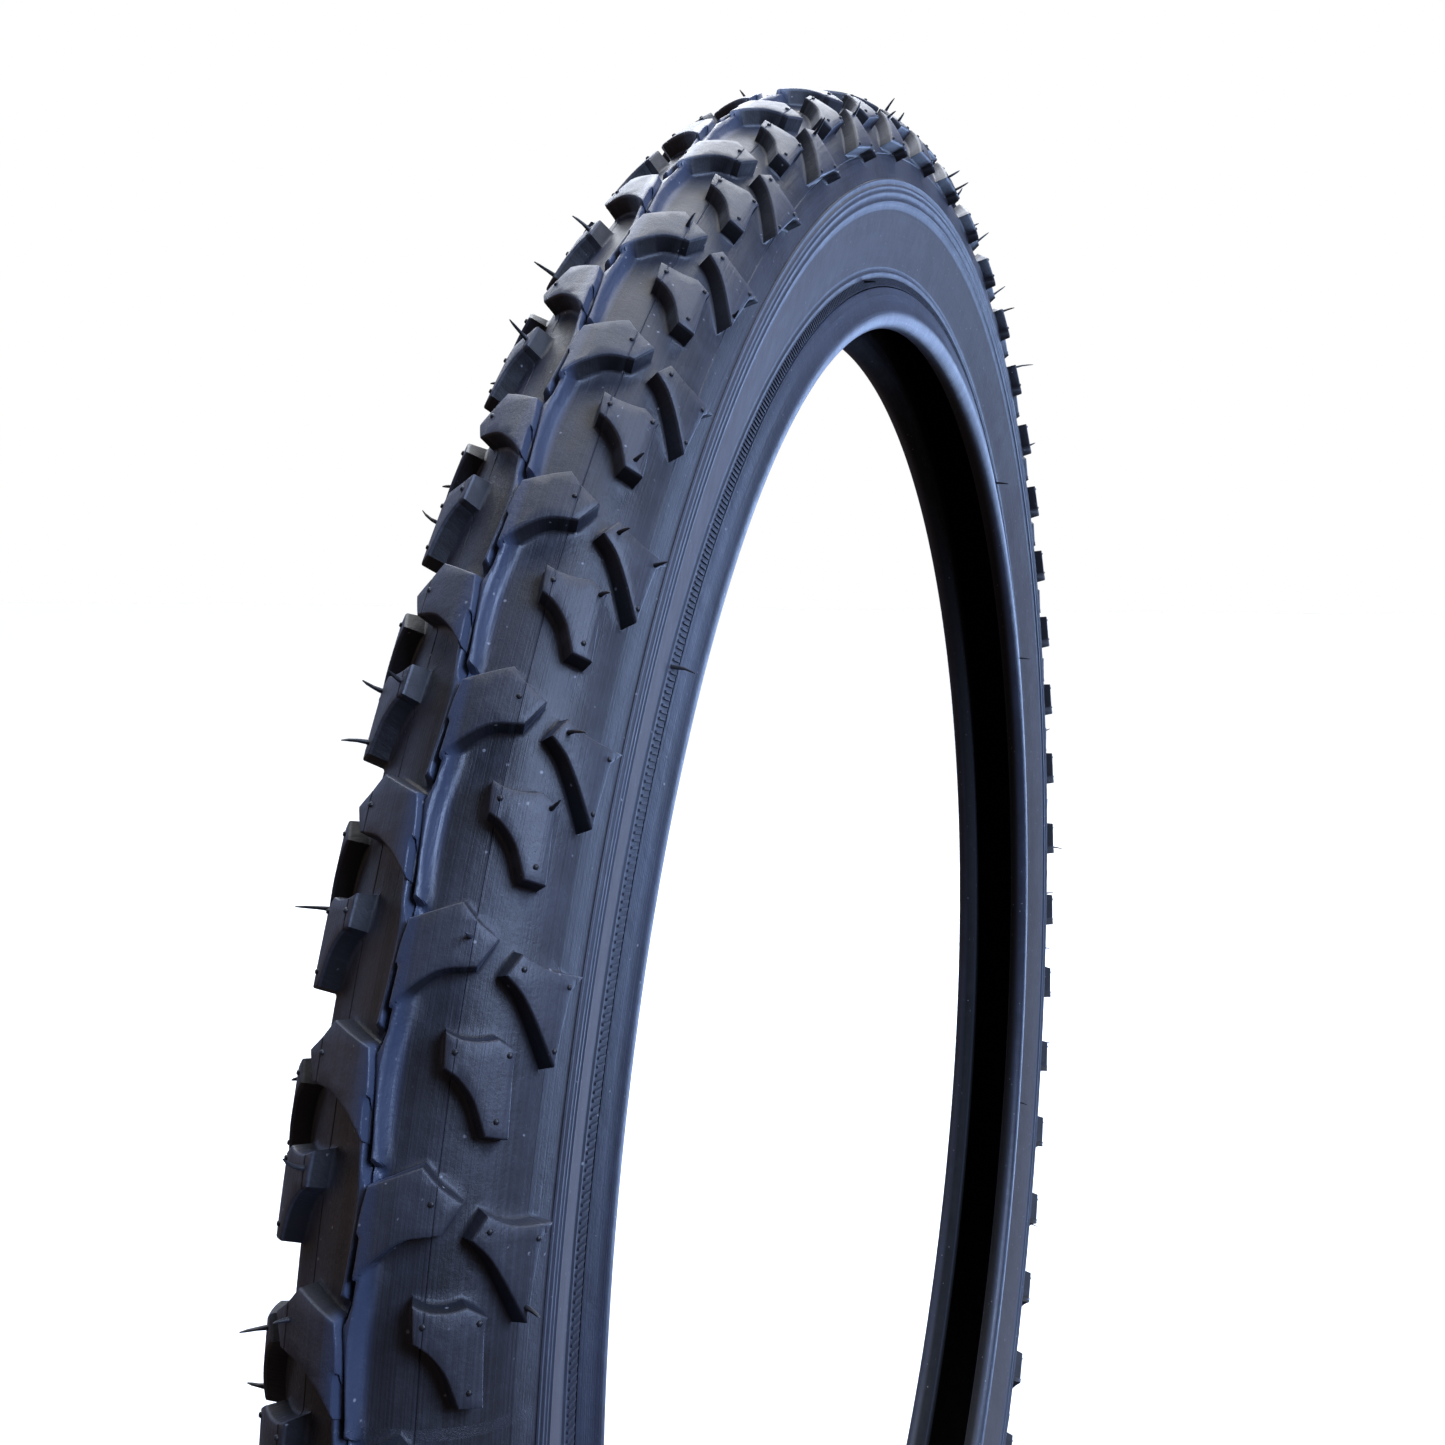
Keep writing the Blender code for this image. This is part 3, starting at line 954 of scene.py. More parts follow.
@dataclass
class Drawing:
    """Points and lines in the plane, to be filled with triangles."""

    points: list[Place] = field(default_factory=list)
    edges: list[tuple[int, int]] = field(default_factory=list)

    def draw(self, line: np.ndarray, closed: bool = False) -> None:
        """Adds a line.

        Args:
            line: Its points.
            closed: Whether it returns to its start.
        """
        first, length = len(self.points), len(line)
        self.points.extend(map(tuple, line))
        count = length if closed else length - 1
        self.edges.extend((first + i, first + (i + 1) % length) for i in range(count))

    def scatter(self, grid: np.ndarray, clear: float, batches: int = 8) -> None:
        """Adds the loose points that stand clear of the lines.

        Args:
            grid: The loose points.
            clear: How far they have to be from every point of a line.
            batches: In how many parts they are compared, to save memory.
        """
        taken = np.array(self.points)
        for part in np.array_split(grid, batches):
            gaps = np.linalg.norm(part[:, None] - taken[None], axis=-1).min(1)
            self.points.extend(map(tuple, part[gaps > clear]))

    def triangles(self) -> tuple[np.ndarray, np.ndarray]:
        """Fills the drawing.

        Returns:
            The places, in metres, and the triangles.
        """
        scale = 1 / MM
        flat = [Vector((x * scale, y * scale)) for x, y in self.points]
        found = delaunay_2d_cdt(flat, self.edges, [], 0, 1e-4)
        places = np.array([tuple(point) for point in found[0]]) / scale
        return places, np.array([face for face in found[2] if len(face) == 3])


def corners_at(places: np.ndarray, used: np.ndarray, axis: int, value: float) -> np.ndarray:
    """The corners on one straight line of the tread's drawing.

    Args:
        places: All the places.
        used: The corners to choose from.
        axis: The axis that the line crosses.
        value: Where it crosses it.

    Returns:
        The corners, in order along the line.
    """
    chosen = used[np.abs(places[used, axis] - value) < 1e-7]
    return chosen[np.argsort(places[chosen, 1 - axis])]


@dataclass
class Tread:
    """The tread cap: one drawn pitch of floor, knobs and tie strips, repeated round the tire."""

    section: TireSection
    finish: bpy.types.Material
    cap_thickness: float = 1.45 * MM
    outline_spacing: float = 1.0 * MM
    floor_spacing: float = 1.5 * MM
    knob: Profile = Profile(3.2 * MM, 0.22 * MM, 0.34 * MM, 0.60 * MM, 0.06, 0.12)
    strip: Profile = Profile(2.3 * MM, 0.6 * MM, 0.5 * MM, 1.1 * MM, 0.28, 0.22)
    slit: Profile = Profile(1.5 * MM, 0.2 * MM, 0.3 * MM, 0.3 * MM, 0.05, 0.10)
    crease_degrees: tuple[float, ...] = (28.4, 73.5)
    crease_width: float = 0.16 * MM
    crease_depth: float = 0.13 * MM
    dish_place: Place = (1.13, 16.0)
    dish_size: Place = (4.6 * MM, 3.4 * MM)
    dish_depth: float = 0.45 * MM
    cut: float = 0.573
    under_columns: int = 25

    def size(self) -> Place:
        """Metres for one pitch and for one degree across."""
        return self.section.pitch_length, self.section.degree_length

    def cuts(self) -> Place:
        """Where the drawn pitch starts and ends, in metres."""
        return self.cut * self.section.pitch_length, (self.cut + 1) * self.section.pitch_length

    def reliefs(self, outlines: Sequence[Sequence[OutlinePoint]], profile: Profile) -> list[Relief]:
        """Every copy of some shapes that reaches into the drawn pitch.

        Args:
            outlines: The shapes' outlines on the near half.
            profile: How they rise.

        Returns:
            The shapes of both halves: the far half is the near one's mirror image, half a pitch on.
        """
        pitch = self.section.pitch_length
        start, end = self.cuts()
        made = []
        for points in outlines:
            outline = rounded_outline(points, self.outline_spacing, self.size())
            for shift in (-2, -1, 0, 1):
                near = outline + np.array([shift * pitch, 0.0])
                far = outline * np.array([1.0, -1.0]) + np.array([(shift + 0.5) * pitch, 0.0])
                for shape in (near, far):
                    if shape[:, 0].max() + profile.reach > start and shape[:, 0].min() - profile.reach < end:
                        made.append(Relief(shape, profile))
        return made

    def raised(self) -> list[Relief]:
        """The knobs and tie strips of the drawn pitch."""
        knobs = self.reliefs((CENTRE_KNOB, TRANSITION_KNOB, SHOULDER_KNOB), self.knob)
        return knobs + self.reliefs((TIE_STRIP,), self.strip)

    def sunk(self) -> list[Relief]:
        """The slits of the drawn pitch, between the ends of two tie strips."""
        return self.reliefs((TIE_SLIT,), self.slit)

    def height_field(self, points: np.ndarray) -> np.ndarray:
        """The tread's height over its floor.

        Args:
            points: Places on the drawing, in metres.

        Returns:
            The heights.
        """
        pitch, degree = self.size()
        height = np.zeros(len(points))
        for relief in self.raised():
            height = np.maximum(height, relief.heights(points))
        for relief in self.sunk():
            height = height - relief.heights(points)
        along, across = self.dish_place
        for shift in (-1, 0, 1):
            for side, start in ((1, 0.0), (-1, 0.5)):
                centre = np.array([(along + start + shift) * pitch, side * across * degree])
                away = (points - centre) / np.array(self.dish_size)
                floor_share = np.clip(1 - height / self.section.knob_height, 0, 1)
                height = height - self.dish_depth * np.exp(-(away**2).sum(1)) * floor_share
        for degrees in self.crease_degrees:
            gap = np.abs(np.abs(points[:, 1]) - degrees * degree)
            height = height - self.crease_depth * np.clip(1 - gap / self.crease_width, 0, 1)
        return height

    def crease_rows(self) -> list[float]:
        """Where the bottom and both edges of every crease lie.

        Returns:
            Their lengths across the drawing.
        """
        creases = [degrees * self.section.degree_length for degrees in self.crease_degrees]
        rows = [crease + offset * self.crease_width for crease in creases for offset in (-1, 0, 1)]
        return [sign * row for row in rows for sign in (-1, 1)]

    def drawn_pitch(self) -> tuple[np.ndarray, np.ndarray]:
        """Triangulates one pitch between two cuts straight across the tread.

        Returns:
            The places on the drawing and the triangles.
        """
        span = self.section.half_span
        start, end = self.cuts()
        rows = np.linspace(-span, span, 2 * round(span / self.outline_spacing) + 1)
        columns = np.linspace(start, end, round((end - start) / self.floor_spacing) + 1)
        drawing = Drawing()
        for cut in (start, end):
            drawing.draw(np.stack([np.full_like(rows, cut), rows], 1))
        for row in (-span, span, *self.crease_rows()):
            drawing.draw(np.stack([columns, np.full_like(columns, row)], 1))
        for relief in self.raised() + self.sunk():
            for loop in relief.loops():
                drawing.draw(loop, closed=True)
        grid = np.stack(np.meshgrid(columns[1:-1], rows[1:-1], indexing="ij"), -1).reshape(-1, 2)
        drawing.scatter(grid, 0.55 * self.floor_spacing)
        places, triangles = drawing.triangles()
        middle = places[triangles].mean(1)
        inside = (middle[:, 0] > start) & (middle[:, 0] < end) & (np.abs(middle[:, 1]) < span)
        return places, triangles[inside]

    def underside(self, columns: np.ndarray) -> tuple[np.ndarray, np.ndarray]:
        """The cap's inner face as a grid, one row across for each column of the skin's border.

        Args:
            columns: Where the border's corners lie along the drawn pitch, in metres.

        Returns:
            The grid's points and its flow coordinates.
        """
        section = self.section
        rows = np.linspace(-section.half_span, section.half_span, self.under_columns)
        across, radius = section.tread_place(rows, np.full_like(rows, -self.cap_thickness))
        edge = section.edge[0] - self.cap_thickness * 0.75
        across[[0, -1]] = (-edge, edge)
        radius[[0, -1]] = section.edge[1]
        turns = (np.arange(section.pitches)[:, None] + columns / section.pitch_length).reshape(-1, 1)
        angles = section.phase + math.tau / section.pitches * turns
        flow = np.stack(np.broadcast_arrays(angles * section.outer_radius, rows, 0.0), -1)
        return section.turned(angles, across, radius), flow

    def corner_numbers(
        self, places: np.ndarray, used: np.ndarray
    ) -> tuple[np.ndarray, dict[int, tuple[int, int]]]:
        """Numbers one pitch's corners, the last cut's being the next pitch's first ones.

        Args:
            places: The places on the drawing.
            used: The corners that the triangles use.

        Returns:
            The corners that belong to the pitch, and for each corner of the drawing (pitches on, number).
        """
        first_cut, last_cut = (corners_at(places, used, 0, cut) for cut in self.cuts())
        body = np.setdiff1d(used, last_cut)
        numbers = {corner: (0, number) for number, corner in enumerate(body.tolist())}
        for corner in last_cut.tolist():
            nearest = np.abs(places[first_cut, 1] - places[corner, 1]).argmin()
            numbers[corner] = (1, numbers[int(first_cut[nearest])][1])
        return body, numbers

    def build(self) -> bpy.types.Object:
        """Builds the tread cap: the skin with its knobs, the underside, and the two edges between them.

        Returns:
            The tread's object.
        """
        section = self.section
        places, triangles = self.drawn_pitch()
        used = np.unique(triangles)
        body, numbers = self.corner_numbers(places, used)
        count = len(body)
        pitches = np.arange(section.pitches)[:, None]
        along, across = places[body].T
        heights = self.height_field(places)[body]
        angles = section.phase + math.tau / section.pitches * (pitches + along / section.pitch_length)
        skin = section.turned(angles, *section.tread_place(across, heights))
        flow = np.stack(np.broadcast_arrays(pitches * section.pitch_length + along, across, heights), -1)
        local = np.array([[numbers[corner] for corner in face] for face in triangles.tolist()])
        on = pitches[..., None] + local[..., 0]
        faces = (on % section.pitches * count + local[..., 1]).reshape(-1, 3)

        low, high = (corners_at(places, used, 1, edge) for edge in (-section.half_span, section.half_span))
        under, under_flow = self.underside(places[low, 0][:-1])
        index = count * section.pitches + np.arange(under[..., 0].size).reshape(under.shape[:2])
        after = np.roll(index, -1, axis=0)
        quads = [np.stack([index[:, :-1], index[:, 1:], after[:, 1:], after[:, :-1]], -1).reshape(-1, 4)]
        for border, column in ((low, 0), (high, -1)):
            ring = np.array([numbers[corner][1] for corner in border.tolist() if numbers[corner][0] == 0])
            edge = (pitches * count + ring).ravel()
            quads.append(np.stack([edge, np.roll(edge, -1), after[:, column], index[:, column]], -1))
        skin_faces = faces.tolist() + np.concatenate(quads).tolist()
        points = np.concatenate([skin.reshape(-1, 3), under.reshape(-1, 3)])
        flow = np.concatenate([flow.reshape(-1, 3), under_flow.reshape(-1, 3)])
        return make_piece("tread", points, skin_faces, self.finish, flow, 32.0, ["tread_cap"])


Ring = tuple[float, float, float, float]
NUB_RINGS: tuple[Ring, ...] = (
    (-0.25 * MM, 0.0, 1.0, 0.0),
    (0.0, 0.5, 0.95, 0.0),
    (0.0, 1.0, 0.6, 0.0),
)
HAIR_RINGS: tuple[Ring, ...] = (
    (-0.25 * MM, 0.0, 1.5, 0.0),
    (0.3 * MM, 0.0, 1.3, 0.0),
    (0.0, 0.4, 1.0, 0.2),
    (0.0, 0.75, 0.8, 0.6),
    (0.0, 1.0, 0.35, 1.0),
)
BEAD_HAIR_RINGS: tuple[Ring, ...] = (
    (-0.5 * MM, 0.0, 1.6, 0.0),
    (0.0, 0.5, 1.0, 0.3),
    (0.0, 1.0, 0.4, 1.0),
)


@dataclass(frozen=True)
class Spike:
    """A closed tapered spike: a nub, or a hair of rubber that leans over.

    Each of its rings is (metres up, share of the length up, share of the radius, share of the lean).
    """

    rings: tuple[Ring, ...]
    base: Vector
    up: Vector
    length: float
    radius: float
    lean: Vector
    sides: int = 6

    def mesh(self) -> tuple[np.ndarray, Faces]:
        """Its points and faces.

        Returns:
            The points and the faces.
        """
        one = self.up.orthogonal().normalized()
        other = self.up.cross(one)
        sides = range(self.sides)
        points: list[Vector] = []
        for metres, up_share, radius_share, lean_share in self.rings:
            middle = self.base + self.up * (metres + up_share * self.length) + self.lean * lean_share
            for turn in [math.tau * corner / self.sides for corner in sides]:
                aside = one * math.cos(turn) + other * math.sin(turn)
                points.append(middle + aside * (self.radius * radius_share))
        ends = len(points) - self.sides
        faces: Faces = []
        for low in range(0, ends, self.sides):
            high = low + self.sides
            for corner in sides:
                after = (corner + 1) % self.sides
                faces.append((low + corner, low + after, high + after, high + corner))
        faces += [tuple(sides), tuple(range(ends, len(points)))]
        return np.array([tuple(point) for point in points]), faces


@dataclass
class VentFlash:
    """The nubs left by the mould's vents on the knobs, some with a hair of rubber still on."""

    section: TireSection
    finish: bpy.types.Material
    nub_radius: float = 0.42 * MM
    nub_height: float = 0.32 * MM
    hair_radius: float = 0.28 * MM
    hair_share: float = 0.22
    hair_lengths: Place = (1.6 * MM, 4.6 * MM)
    hair_lean: float = 0.30
    bead_hairs: int = 9
    bead_hair_lengths: Place = (3.0 * MM, 5.0 * MM)
    bead_hair_lean: float = 0.25
    bead_hair_shift: float = 0.3
    bead_hair_place: Place = (0.6 * MM, -1.2 * MM)
    seed: int = 11

    def __post_init__(self) -> None:
        """Starts the random draws."""
        self.draw = random.Random(self.seed)

    def hair(self, rings: tuple[Ring, ...], base: Vector, up: Vector, lengths: Place, lean: float) -> Spike:
        """A hair with a drawn length that leans in a drawn direction.

        Args:
            rings: How it tapers.
            base: Its foot.
            up: Its direction there.
            lengths: The least and the greatest length.
            lean: How far it leans, as a share of its length.

        Returns:
            The hair.
        """
        length = self.draw.uniform(*lengths)
        aside = Vector([self.draw.uniform(-1, 1) for _ in range(3)]) * length * lean
        return Spike(rings, base, up, length, self.hair_radius, aside)

    def over_crown(self, angle: float, side: int, degrees: float, height: float) -> Vector:
        """A place over the crown, in space.

        Args:
            angle: How far round the wheel it is, in radians.
            side: 1 on the left half, -1 on the right one.
            degrees: How far across the crown it is.
            height: How high it is over the floor.

        Returns:
            The place.
        """
        across, radius = self.section.crown(degrees, height)
        return Vector(self.section.turned(angle, side * across, radius))

    def on_knobs(self) -> list[Spike]:
        """The nubs and hairs on the knobs of both halves.

        Returns:
            The spikes.
        """
        section = self.section
        spikes = []
        for turn in range(section.pitches):
            for side, half in ((1, 0.0), (-1, 0.5)):
                for along, degrees in VENT_NUBS:
                    angle = section.phase + math.tau * (turn + along + half) / section.pitches
                    base = self.over_crown(angle, side, degrees, section.knob_height)
                    above = self.over_crown(angle, side, degrees, section.knob_height + MM)
                    up = (above - base).normalized()
                    if self.draw.random() < self.hair_share:
                        spikes.append(self.hair(HAIR_RINGS, base, up, self.hair_lengths, self.hair_lean))
                    else:
                        spikes.append(Spike(NUB_RINGS, base, up, self.nub_height, self.nub_radius, Vector()))
        return spikes

    def on_beads(self) -> list[Spike]:
        """The hairs on both beads.

        Returns:
            The spikes.
        """
        section = self.section
        shift = self.bead_hair_shift
        out, up = self.bead_hair_place
        spikes = []
        for side in Side:
            for hair in range(self.bead_hairs):
                angle = math.tau * (hair + self.draw.uniform(-shift, shift)) / self.bead_hairs
                across = side.value * (section.waist[0] + out)
                base = Vector(section.turned(angle, across, section.waist[1] + up))
                outward = Vector((0.0, -side.value, 0.0))
                spikes.append(
                    self.hair(BEAD_HAIR_RINGS, base, outward, self.bead_hair_lengths, self.bead_hair_lean)
                )
        return spikes

    def build(self) -> bpy.types.Object:
        """Builds every nub and hair.

        Returns:
            The object that holds them.
        """
        points, faces = merged(spike.mesh() for spike in self.on_knobs() + self.on_beads())
        return make_piece("vent_flash", points, faces, self.finish, sharp=60.0)


# ---------------------------------------------------------------- sidewalls and beads

TICK_CORNERS: tuple[tuple[float, float, float], ...] = (
    (-1, 0, -1),
    (1, 0, -1),
    (1, 1, -1),
    (-1, 1, -1),
    (-0.7, 0.08, 1),
    (0.7, 0.08, 1),
    (0.7, 0.92, 1),
    (-0.7, 0.92, 1),
)
TICK_FACES: Faces = [(0, 1, 2, 3), (4, 5, 6, 7), (0, 1, 5, 4), (1, 2, 6, 5), (2, 3, 7, 6), (3, 0, 4, 7)]


@dataclass
class Sidewall:
    """One sidewall: moulded ribs under the tread, a plain band, and a fine ring of ticks over the bead."""

    section: TireSection
    side: Side
    finish: bpy.types.Material
    thickness: float = 1.2 * MM
    steps: int = 360
    path_spacing: float = 0.5 * MM
    smoothing: int = 14
    first_row: float = 0.5 * MM
    row_spacing: float = 0.8 * MM
    rib_heights: tuple[float, ...] = (0.25 * MM, 1.75 * MM, 3.0 * MM, 4.9 * MM)
    foot_rib: float = 3.1 * MM
    rib_width: float = 0.30 * MM
    rib_rise: float = 0.28 * MM
    bulge: float = 0.2 * MM
    bulge_ends: Place = (5.4 * MM, 3.6 * MM)
    edge_dip: float = 0.12 * MM
    edge_dip_width: float = 0.25 * MM
    ticks: int = 1120
    tick_size: tuple[float, float, float] = (0.55 * MM, 2.0 * MM, 0.26 * MM)
    tick_slant: float = 0.35
    tick_drop: float = 0.3 * MM

    def path(self) -> list[Place]:
        """The sidewall's outer line from the tread's edge down to the chafer.

        Returns:
            Its places, close together, without ribs.
        """
        section = self.section
        foot = section.lower_wall(section.chafer_height + section.piece_gap)
        corners = [section.edge, section.belly, section.waist, foot]
        line = [Vector(corners[0])]
        for one, two in zip(corners, corners[1:]):
            steps = max(2, round(math.dist(one, two) / self.path_spacing))
            line += [Vector(one).lerp(Vector(two), step / steps) for step in range(1, steps + 1)]
        for _ in range(self.smoothing):
            inner = [(a + 2 * b + c) / 4 for a, b, c in zip(line, line[1:], line[2:])]
            line = [line[0], *inner, line[-1]]
        return [tuple(point) for point in line]

    def rows(self, length: float, ribs: Sequence[float]) -> np.ndarray:
        """Where the outer line needs points.

        Args:
            length: The line's whole length.
            ribs: The ribs' lengths along it.

        Returns:
            The points' lengths along the line, in order.
        """
        marks = {0.0, length, *np.arange(self.first_row, length, self.row_spacing).tolist()}
        for rib in ribs:
            marks |= {rib + share * self.rib_width for share in (-1.0, -0.5, -0.35, 0.0, 0.35, 0.5, 1.0)}
        return np.array(sorted(mark for mark in marks if 0 <= mark <= length))

    def outer_line(self) -> list[Place]:
        """The outer line with its ribs standing out from it.

        Returns:
            Its places, from the tread's edge down.
        """
        path = np.array(self.path())
        lengths = np.concatenate([[0], np.cumsum(np.linalg.norm(np.diff(path, axis=0), axis=1))])
        ribs = (*self.rib_heights, lengths[-1] - self.foot_rib)
        rows = self.rows(float(lengths[-1]), ribs)
        line = np.stack([np.interp(rows, lengths, path[:, 0]), np.interp(rows, lengths, path[:, 1])], 1)
        along = np.gradient(line, rows, axis=0)
        normal = np.stack([-along[:, 1], along[:, 0]], 1)
        normal /= np.linalg.norm(normal, axis=1)[:, None]
        standing = [np.clip(1.4 - np.abs(rows - rib) / self.rib_width, 0, 1) ** 0.7 for rib in ribs]
        rise = self.rib_rise * np.sum(standing, axis=0)
        start, end = self.bulge_ends
        bulging = np.clip((rows - start) / (lengths[-1] - start - end), 0, 1)
        rise += self.bulge * np.sin(math.pi * bulging) ** 1.5
        rise -= self.edge_dip * np.clip(1 - rows / self.edge_dip_width, 0, 1)
        return [tuple(point) for point in line + normal * rise[:, None]]

    def tick_ring(self) -> tuple[np.ndarray, Faces]:
        """The slanted ticks, each a small raised bar.

        Returns:
            Their points and faces.
        """
        waist = self.section.waist[1]
        path = np.array(self.outer_line())
        top = path[path[:, 1] < waist - self.tick_drop][0]
        width, length, rise = self.tick_size
        down = (path[-3] - top) / np.linalg.norm(path[-3] - top)
        out = np.array([-down[1], down[0]])
        out = out * np.sign(out[0])
        turns = math.tau / self.ticks * np.arange(self.ticks)
        points = []
        for around, along, high in TICK_CORNERS:
            place = top + down * along * length + out * rise * high
            angles = turns + (around * width / 2 + self.tick_slant * along * length) / waist
            points.append(self.section.turned(angles, self.side.value * place[0], place[1]))
        return merged((tick, TICK_FACES) for tick in np.stack(points, 1))

    def build(self) -> bpy.types.Object:
        """Builds the sidewall with its ring of ticks.

        Returns:
            The sidewall's object.
        """
        path = np.array(self.path()[::4] + [self.path()[-1]])
        along = np.gradient(path, axis=0)
        inward = np.stack([along[:, 1], -along[:, 0]], 1)
        inward /= np.linalg.norm(inward, axis=1)[:, None]
        inner = path + inward * self.thickness
        outline = mirrored(self.outer_line() + [tuple(point) for point in inner[::-1]], self.side)
        points, faces, flow = turn_section(self.section, outline, self.steps)
        ticks = self.tick_ring()
        points, faces = merged([(points, faces), ticks])
        flow = np.concatenate([flow, np.zeros_like(ticks[0])])
        word = self.side.word
        name, replaces = f"sidewall_{word}_moulded", [f"sidewall_{word}"]
        return make_piece(name, points, faces, self.finish, flow, 50.0, replaces)


@dataclass
class BeadRoll:
    """One chafer: the rounded roll of rubbered fabric that sits on the rim."""

    section: TireSection
    side: Side
    finish: bpy.types.Material
    thickness: float = 0.9 * MM
    steps: int = 300
    roll_degrees: tuple[float, float] = (35.0, -215.0)
    roll_points: int = 22
    swell: float = 0.12 * MM
    inner_place: Place = (0.15 * MM, 4.2 * MM)
    top_drop: float = 0.35 * MM

    def build(self) -> bpy.types.Object:
        """Builds the chafer.

        Returns:
            The chafer's object.
        """
        section, lean = self.section, self.thickness
        wire, reach = section.wire, section.bead_half_size
        top = section.lower_wall(section.chafer_height)
        roll = arc_points(wire, reach, *self.roll_degrees, self.roll_points)
        swollen = ((top[0] + roll[0][0]) / 2 + self.swell, (top[1] + roll[0][1]) / 2)
        inner_top = (wire[0] - reach + self.inner_place[0], wire[1] + self.inner_place[1])
        outer = [top, swollen, *roll, inner_top]
        ply = arc_points(wire, reach - lean, *self.roll_degrees, self.roll_points)
        inner_end = (top[0] - lean * 1.05, top[1] - self.top_drop)
        inner = [(inner_top[0] + lean, inner_top[1]), *ply[::-1], inner_end]
        points, faces, flow = turn_section(section, mirrored(outer + inner, self.side), self.steps)
        word = self.side.word
        name, replaces = f"bead_roll_{word}", [f"chafer_{word}"]
        return make_piece(name, points, faces, self.finish, flow, 50.0, replaces)


@dataclass
class CasingLayer:
    """A hidden layer of the casing, turned smoothly from its own CAD section."""

    section: TireSection
    node: str
    name: str
    slot: str
    finish: bpy.types.Material
    steps: int = 300
    grid: float = 0.001 * MM

    def outline(self) -> list[Place]:
        """Walks round the CAD node's section at one of its rings.

        Returns:
            The closed section.
        """
        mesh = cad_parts[self.node].data
        places = np.array([tuple(point.co) for point in mesh.vertices])
        angles = np.arctan2(places[:, 2], -places[:, 0])
        chosen = np.abs(angles - angles[0]) < 1e-4
        names = [tuple(np.round(place / self.grid).astype(int)) for place in places]
        links: dict[tuple, set] = {}
        kept = {}
        for edge in mesh.edges:
            one, two = edge.vertices
            if chosen[one] and chosen[two] and names[one] != names[two]:
                for here, there in ((one, two), (two, one)):
                    links.setdefault(names[here], set()).add(names[there])
                    kept[names[here]] = places[here]
        walk = [min(links)]
        before = None
        while True:
            onward = [name for name in sorted(links[walk[-1]]) if name != before]
            if not onward or onward[0] == walk[0]:
                break
            before = walk[-1]
            walk.append(onward[0])
        return [(-kept[name][1], math.hypot(kept[name][0], kept[name][2])) for name in walk]

    def build(self) -> bpy.types.Object:
        """Builds the layer.

        Returns:
            The layer's object.
        """
        points, faces, flow = turn_section(self.section, self.outline(), self.steps)
        return make_piece(self.name, points, faces, self.finish, flow, 60.0, [self.node])


@dataclass
class Bead:
    """One bead wire as a round hoop, and its sleeve."""

    section: TireSection
    side: Side
    finish: bpy.types.Material
    wire_radius: float = 1.0 * MM
    wire_corners: int = 16
    steps: int = 240

    def build(self) -> bpy.types.Object:
        """Builds the hoop and dresses the sleeve.

        Returns:
            The hoop's object.
        """
        last = 360.0 - 360.0 / self.wire_corners
        circle = arc_points(self.section.wire, self.wire_radius, 0.0, last, self.wire_corners)
        points, faces, flow = turn_section(self.section, mirrored(circle, self.side), self.steps)
        word = self.side.word
        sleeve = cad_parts[f"bead_sleeve_{word}"]
        sleeve.data.materials.clear()
        sleeve.data.materials.append(self.finish)
        name, replaces = f"bead_hoop_{word}", [f"bead_wire_{word}"]
        return make_piece(name, points, faces, self.finish, flow, 60.0, replaces)


# ---------------------------------------------------------------- studio


@dataclass(frozen=True)
class SoftLight:
    """A square light that faces the tire: where it stands, its side, its watts and its colour."""

    name: str
    place: tuple[float, float, float]
    size: float
    power: float
    color: tuple[float, float, float]

    def add(self) -> None:
        """Stands it in the scene, where the camera doesn't see it."""
        data = bpy.data.lights.new(self.name, "AREA")
        data.shape = "SQUARE"
        data.size = self.size
        data.energy = self.power
        data.color = self.color
        light = bpy.data.objects.new(self.name, data)
        light.location = self.place
        light.visible_camera = False
        light.rotation_mode = "QUATERNION"
        light.rotation_quaternion = (-Vector(self.place)).to_track_quat("-Z", "Y")
        bpy.context.scene.collection.objects.link(light)


LIGHTS: tuple[SoftLight, ...] = (
    SoftLight("beyond", (1.5, 0.7, 1.3), 1.5, 30.0, (0.85, 0.91, 1.0)),
    SoftLight("cool_left", (0.2, 2.0, 0.9), 1.5, 7.0, (0.45, 0.60, 1.0)),
    SoftLight("warm_left", (-1.2, 1.8, 0.4), 1.2, 3.0, (1.0, 0.74, 0.62)),
    SoftLight("low_right", (1.1, -0.46, -0.12), 1.0, 20.0, (0.42, 0.60, 1.0)),
    SoftLight("front", (-0.9, -2.2, 1.5), 1.4, 125.0, (0.49, 0.64, 1.0)),
)


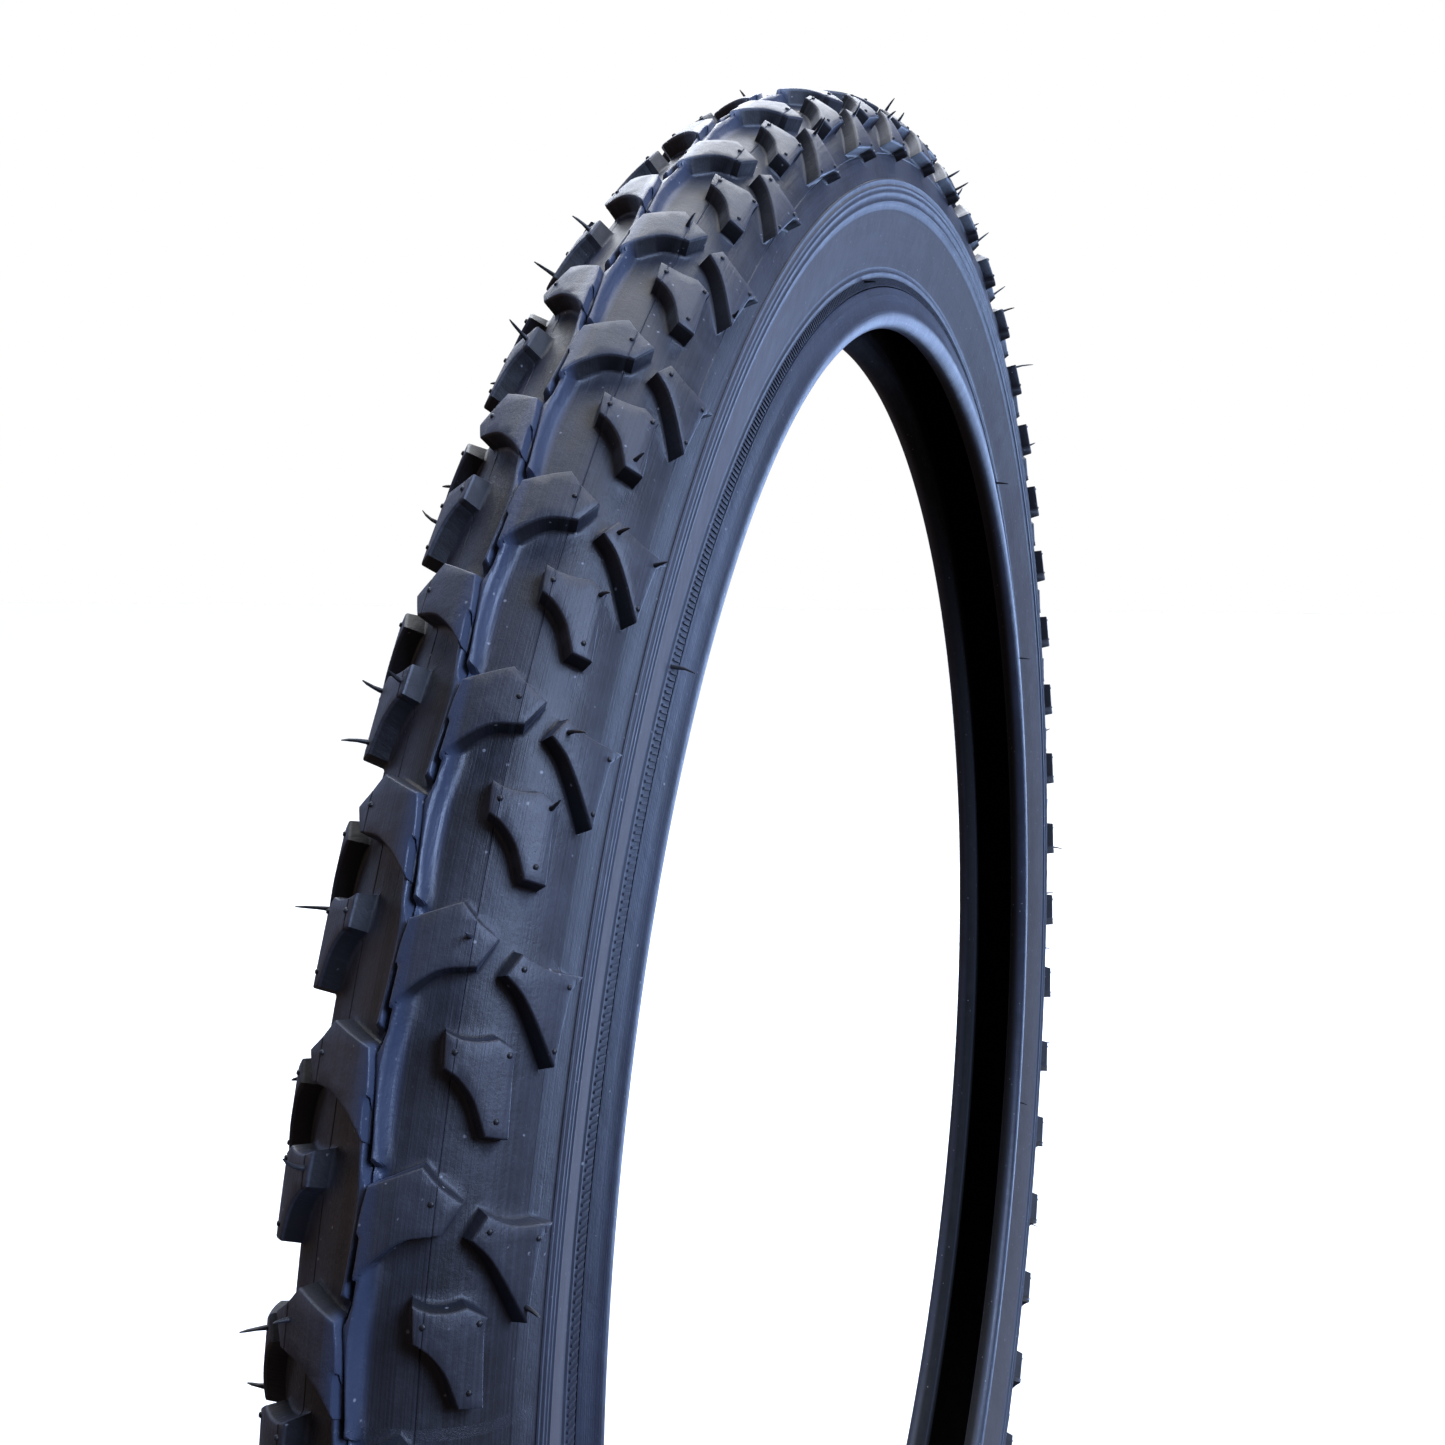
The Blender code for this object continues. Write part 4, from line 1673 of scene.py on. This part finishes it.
@dataclass
class Studio:
    """A pale floor, soft light and the camera."""

    section: TireSection
    floor_size: float = 30.0
    floor_gap: float = 0.2 * MM
    sun_power: float = 3.7
    sun_degrees: float = 70.0
    sun_color: tuple[float, float, float] = (0.96, 0.98, 1.0)
    sun_direction: tuple[float, float, float] = (-0.45, -0.1, -1.0)
    low_sky: Color = (0.075, 0.056, 0.050, 1.0)
    high_sky: Color = (0.06, 0.075, 0.12, 1.0)
    backdrop: Color = (1.0, 1.0, 1.0, 1.0)
    camera_place: tuple[float, float, float] = (-0.4005, -0.1008, 0.14267)
    camera_back: tuple[float, float, float] = (-0.938378, -0.331671, 0.097164)
    lens: float = 38.81

    def add_floor(self) -> None:
        """Lays the floor under the tread."""
        half = self.floor_size / 2
        mesh = bpy.data.meshes.new("studio_floor")
        corners = [(-half, -half, 0), (half, -half, 0), (half, half, 0), (-half, half, 0)]
        mesh.from_pydata(corners, [], [(0, 1, 2, 3)])
        mesh.materials.append(BackdropFinish().material())
        floor = bpy.data.objects.new("studio_floor", mesh)
        floor.location.z = -self.section.outer_radius - self.floor_gap
        floor.visible_diffuse = False
        floor.visible_glossy = False
        bpy.context.scene.collection.objects.link(floor)

    def add_sun(self) -> None:
        """Adds a very soft sun from above, which keeps the floor white out to its edge."""
        data = bpy.data.lights.new("sun", "SUN")
        data.energy = self.sun_power
        data.angle = math.radians(self.sun_degrees)
        data.color = self.sun_color
        sun = bpy.data.objects.new("sun", data)
        sun.rotation_mode = "QUATERNION"
        sun.rotation_quaternion = Vector(self.sun_direction).to_track_quat("-Z", "Y")
        bpy.context.scene.collection.objects.link(sun)

    def add_world(self) -> None:
        """Adds a pale world: white behind the tire, cooler and dimmer where it lights it."""
        world = bpy.data.worlds.new("studio_world")
        bpy.context.scene.world = world
        dresser = Dresser(world, "Background")
        direction = dresser.add("ShaderNodeTexCoord", {}, {})[0]
        seen = dresser.add("ShaderNodeLightPath", {}, {})[0]
        sky = dresser.blend(dresser.split(direction)[2], self.low_sky, self.high_sky)
        dresser.finish(Color=dresser.blend(seen, sky, self.backdrop))

    def add_camera(self) -> None:
        """Stands the camera near the tread's front, a little above the axle."""
        data = bpy.data.cameras.new("camera")
        data.lens = self.lens
        data.sensor_width = 36.0
        data.clip_start, data.clip_end = 0.01, 100.0
        camera = bpy.data.objects.new("camera", data)
        back = Vector(self.camera_back).normalized()
        right = Vector((0, 0, 1)).cross(back).normalized()
        up = back.cross(right)
        turn = Matrix((right, up, back)).transposed().to_4x4()
        camera.matrix_world = Matrix.Translation(self.camera_place) @ turn
        bpy.context.scene.collection.objects.link(camera)
        bpy.context.scene.camera = camera

    def build(self) -> None:
        """Sets up the whole studio."""
        self.add_floor()
        self.add_world()
        self.add_sun()
        for light in LIGHTS:
            light.add()
        bpy.context.scene.view_settings.view_transform = "Standard"
        self.add_camera()
        LOG.info("studio: floor, lights and camera")


def main() -> None:
    """Builds every piece of the tire and the studio."""
    logging.basicConfig(level=logging.INFO, format="%(name)s: %(message)s")
    section = TireSection()
    tread_rubber = TreadFinish(
        "tread_rubber", (0.016, 0.015, 0.017, 1.0), (0.044, 0.047, 0.060, 1.0)
    ).material()
    flash_rubber = RubberFinish(
        "flash_rubber", (0.010, 0.010, 0.011, 1.0), (0.024, 0.024, 0.028, 1.0)
    ).material()
    wall_rubber = WallFinish(
        "sidewall_rubber",
        (0.017, 0.019, 0.026, 1.0),
        (0.036, 0.041, 0.060, 1.0),
        roughness=0.56,
        grain=0.02 * MM,
    ).material()
    chafer_rubber = ChaferFinish(
        "chafer_rubber",
        (0.018, 0.021, 0.030, 1.0),
        (0.036, 0.044, 0.070, 1.0),
        roughness=0.45,
        grain=0.03 * MM,
        inner_edge=section.wire[0],
    ).material()
    ply_cloth = ClothFinish("ply_cloth", (0.004, 0.004, 0.004, 1.0), (0.010, 0.010, 0.010, 1.0)).material()
    cushion_gum = RubberFinish(
        "cushion_gum", (0.02, 0.018, 0.017, 1.0), (0.03, 0.028, 0.026, 1.0), roughness=0.7
    ).material()
    steel = SteelFinish("bead_steel").material()

    Tread(section, tread_rubber).build()
    VentFlash(section, flash_rubber).build()
    for side in Side:
        Sidewall(section, side, wall_rubber).build()
        BeadRoll(section, side, chafer_rubber).build()
        Bead(section, side, steel).build()
    CasingLayer(section, "casing_ply_inner", "ply_inner_smooth", "ply_fabric", ply_cloth).build()
    CasingLayer(section, "casing_ply_outer", "ply_outer_smooth", "ply_fabric", ply_cloth).build()
    CasingLayer(section, "tread_cushion", "cushion_smooth", "cushion_rubber", cushion_gum).build()
    Studio(section).build()


if __name__ == "__main__":
    main()
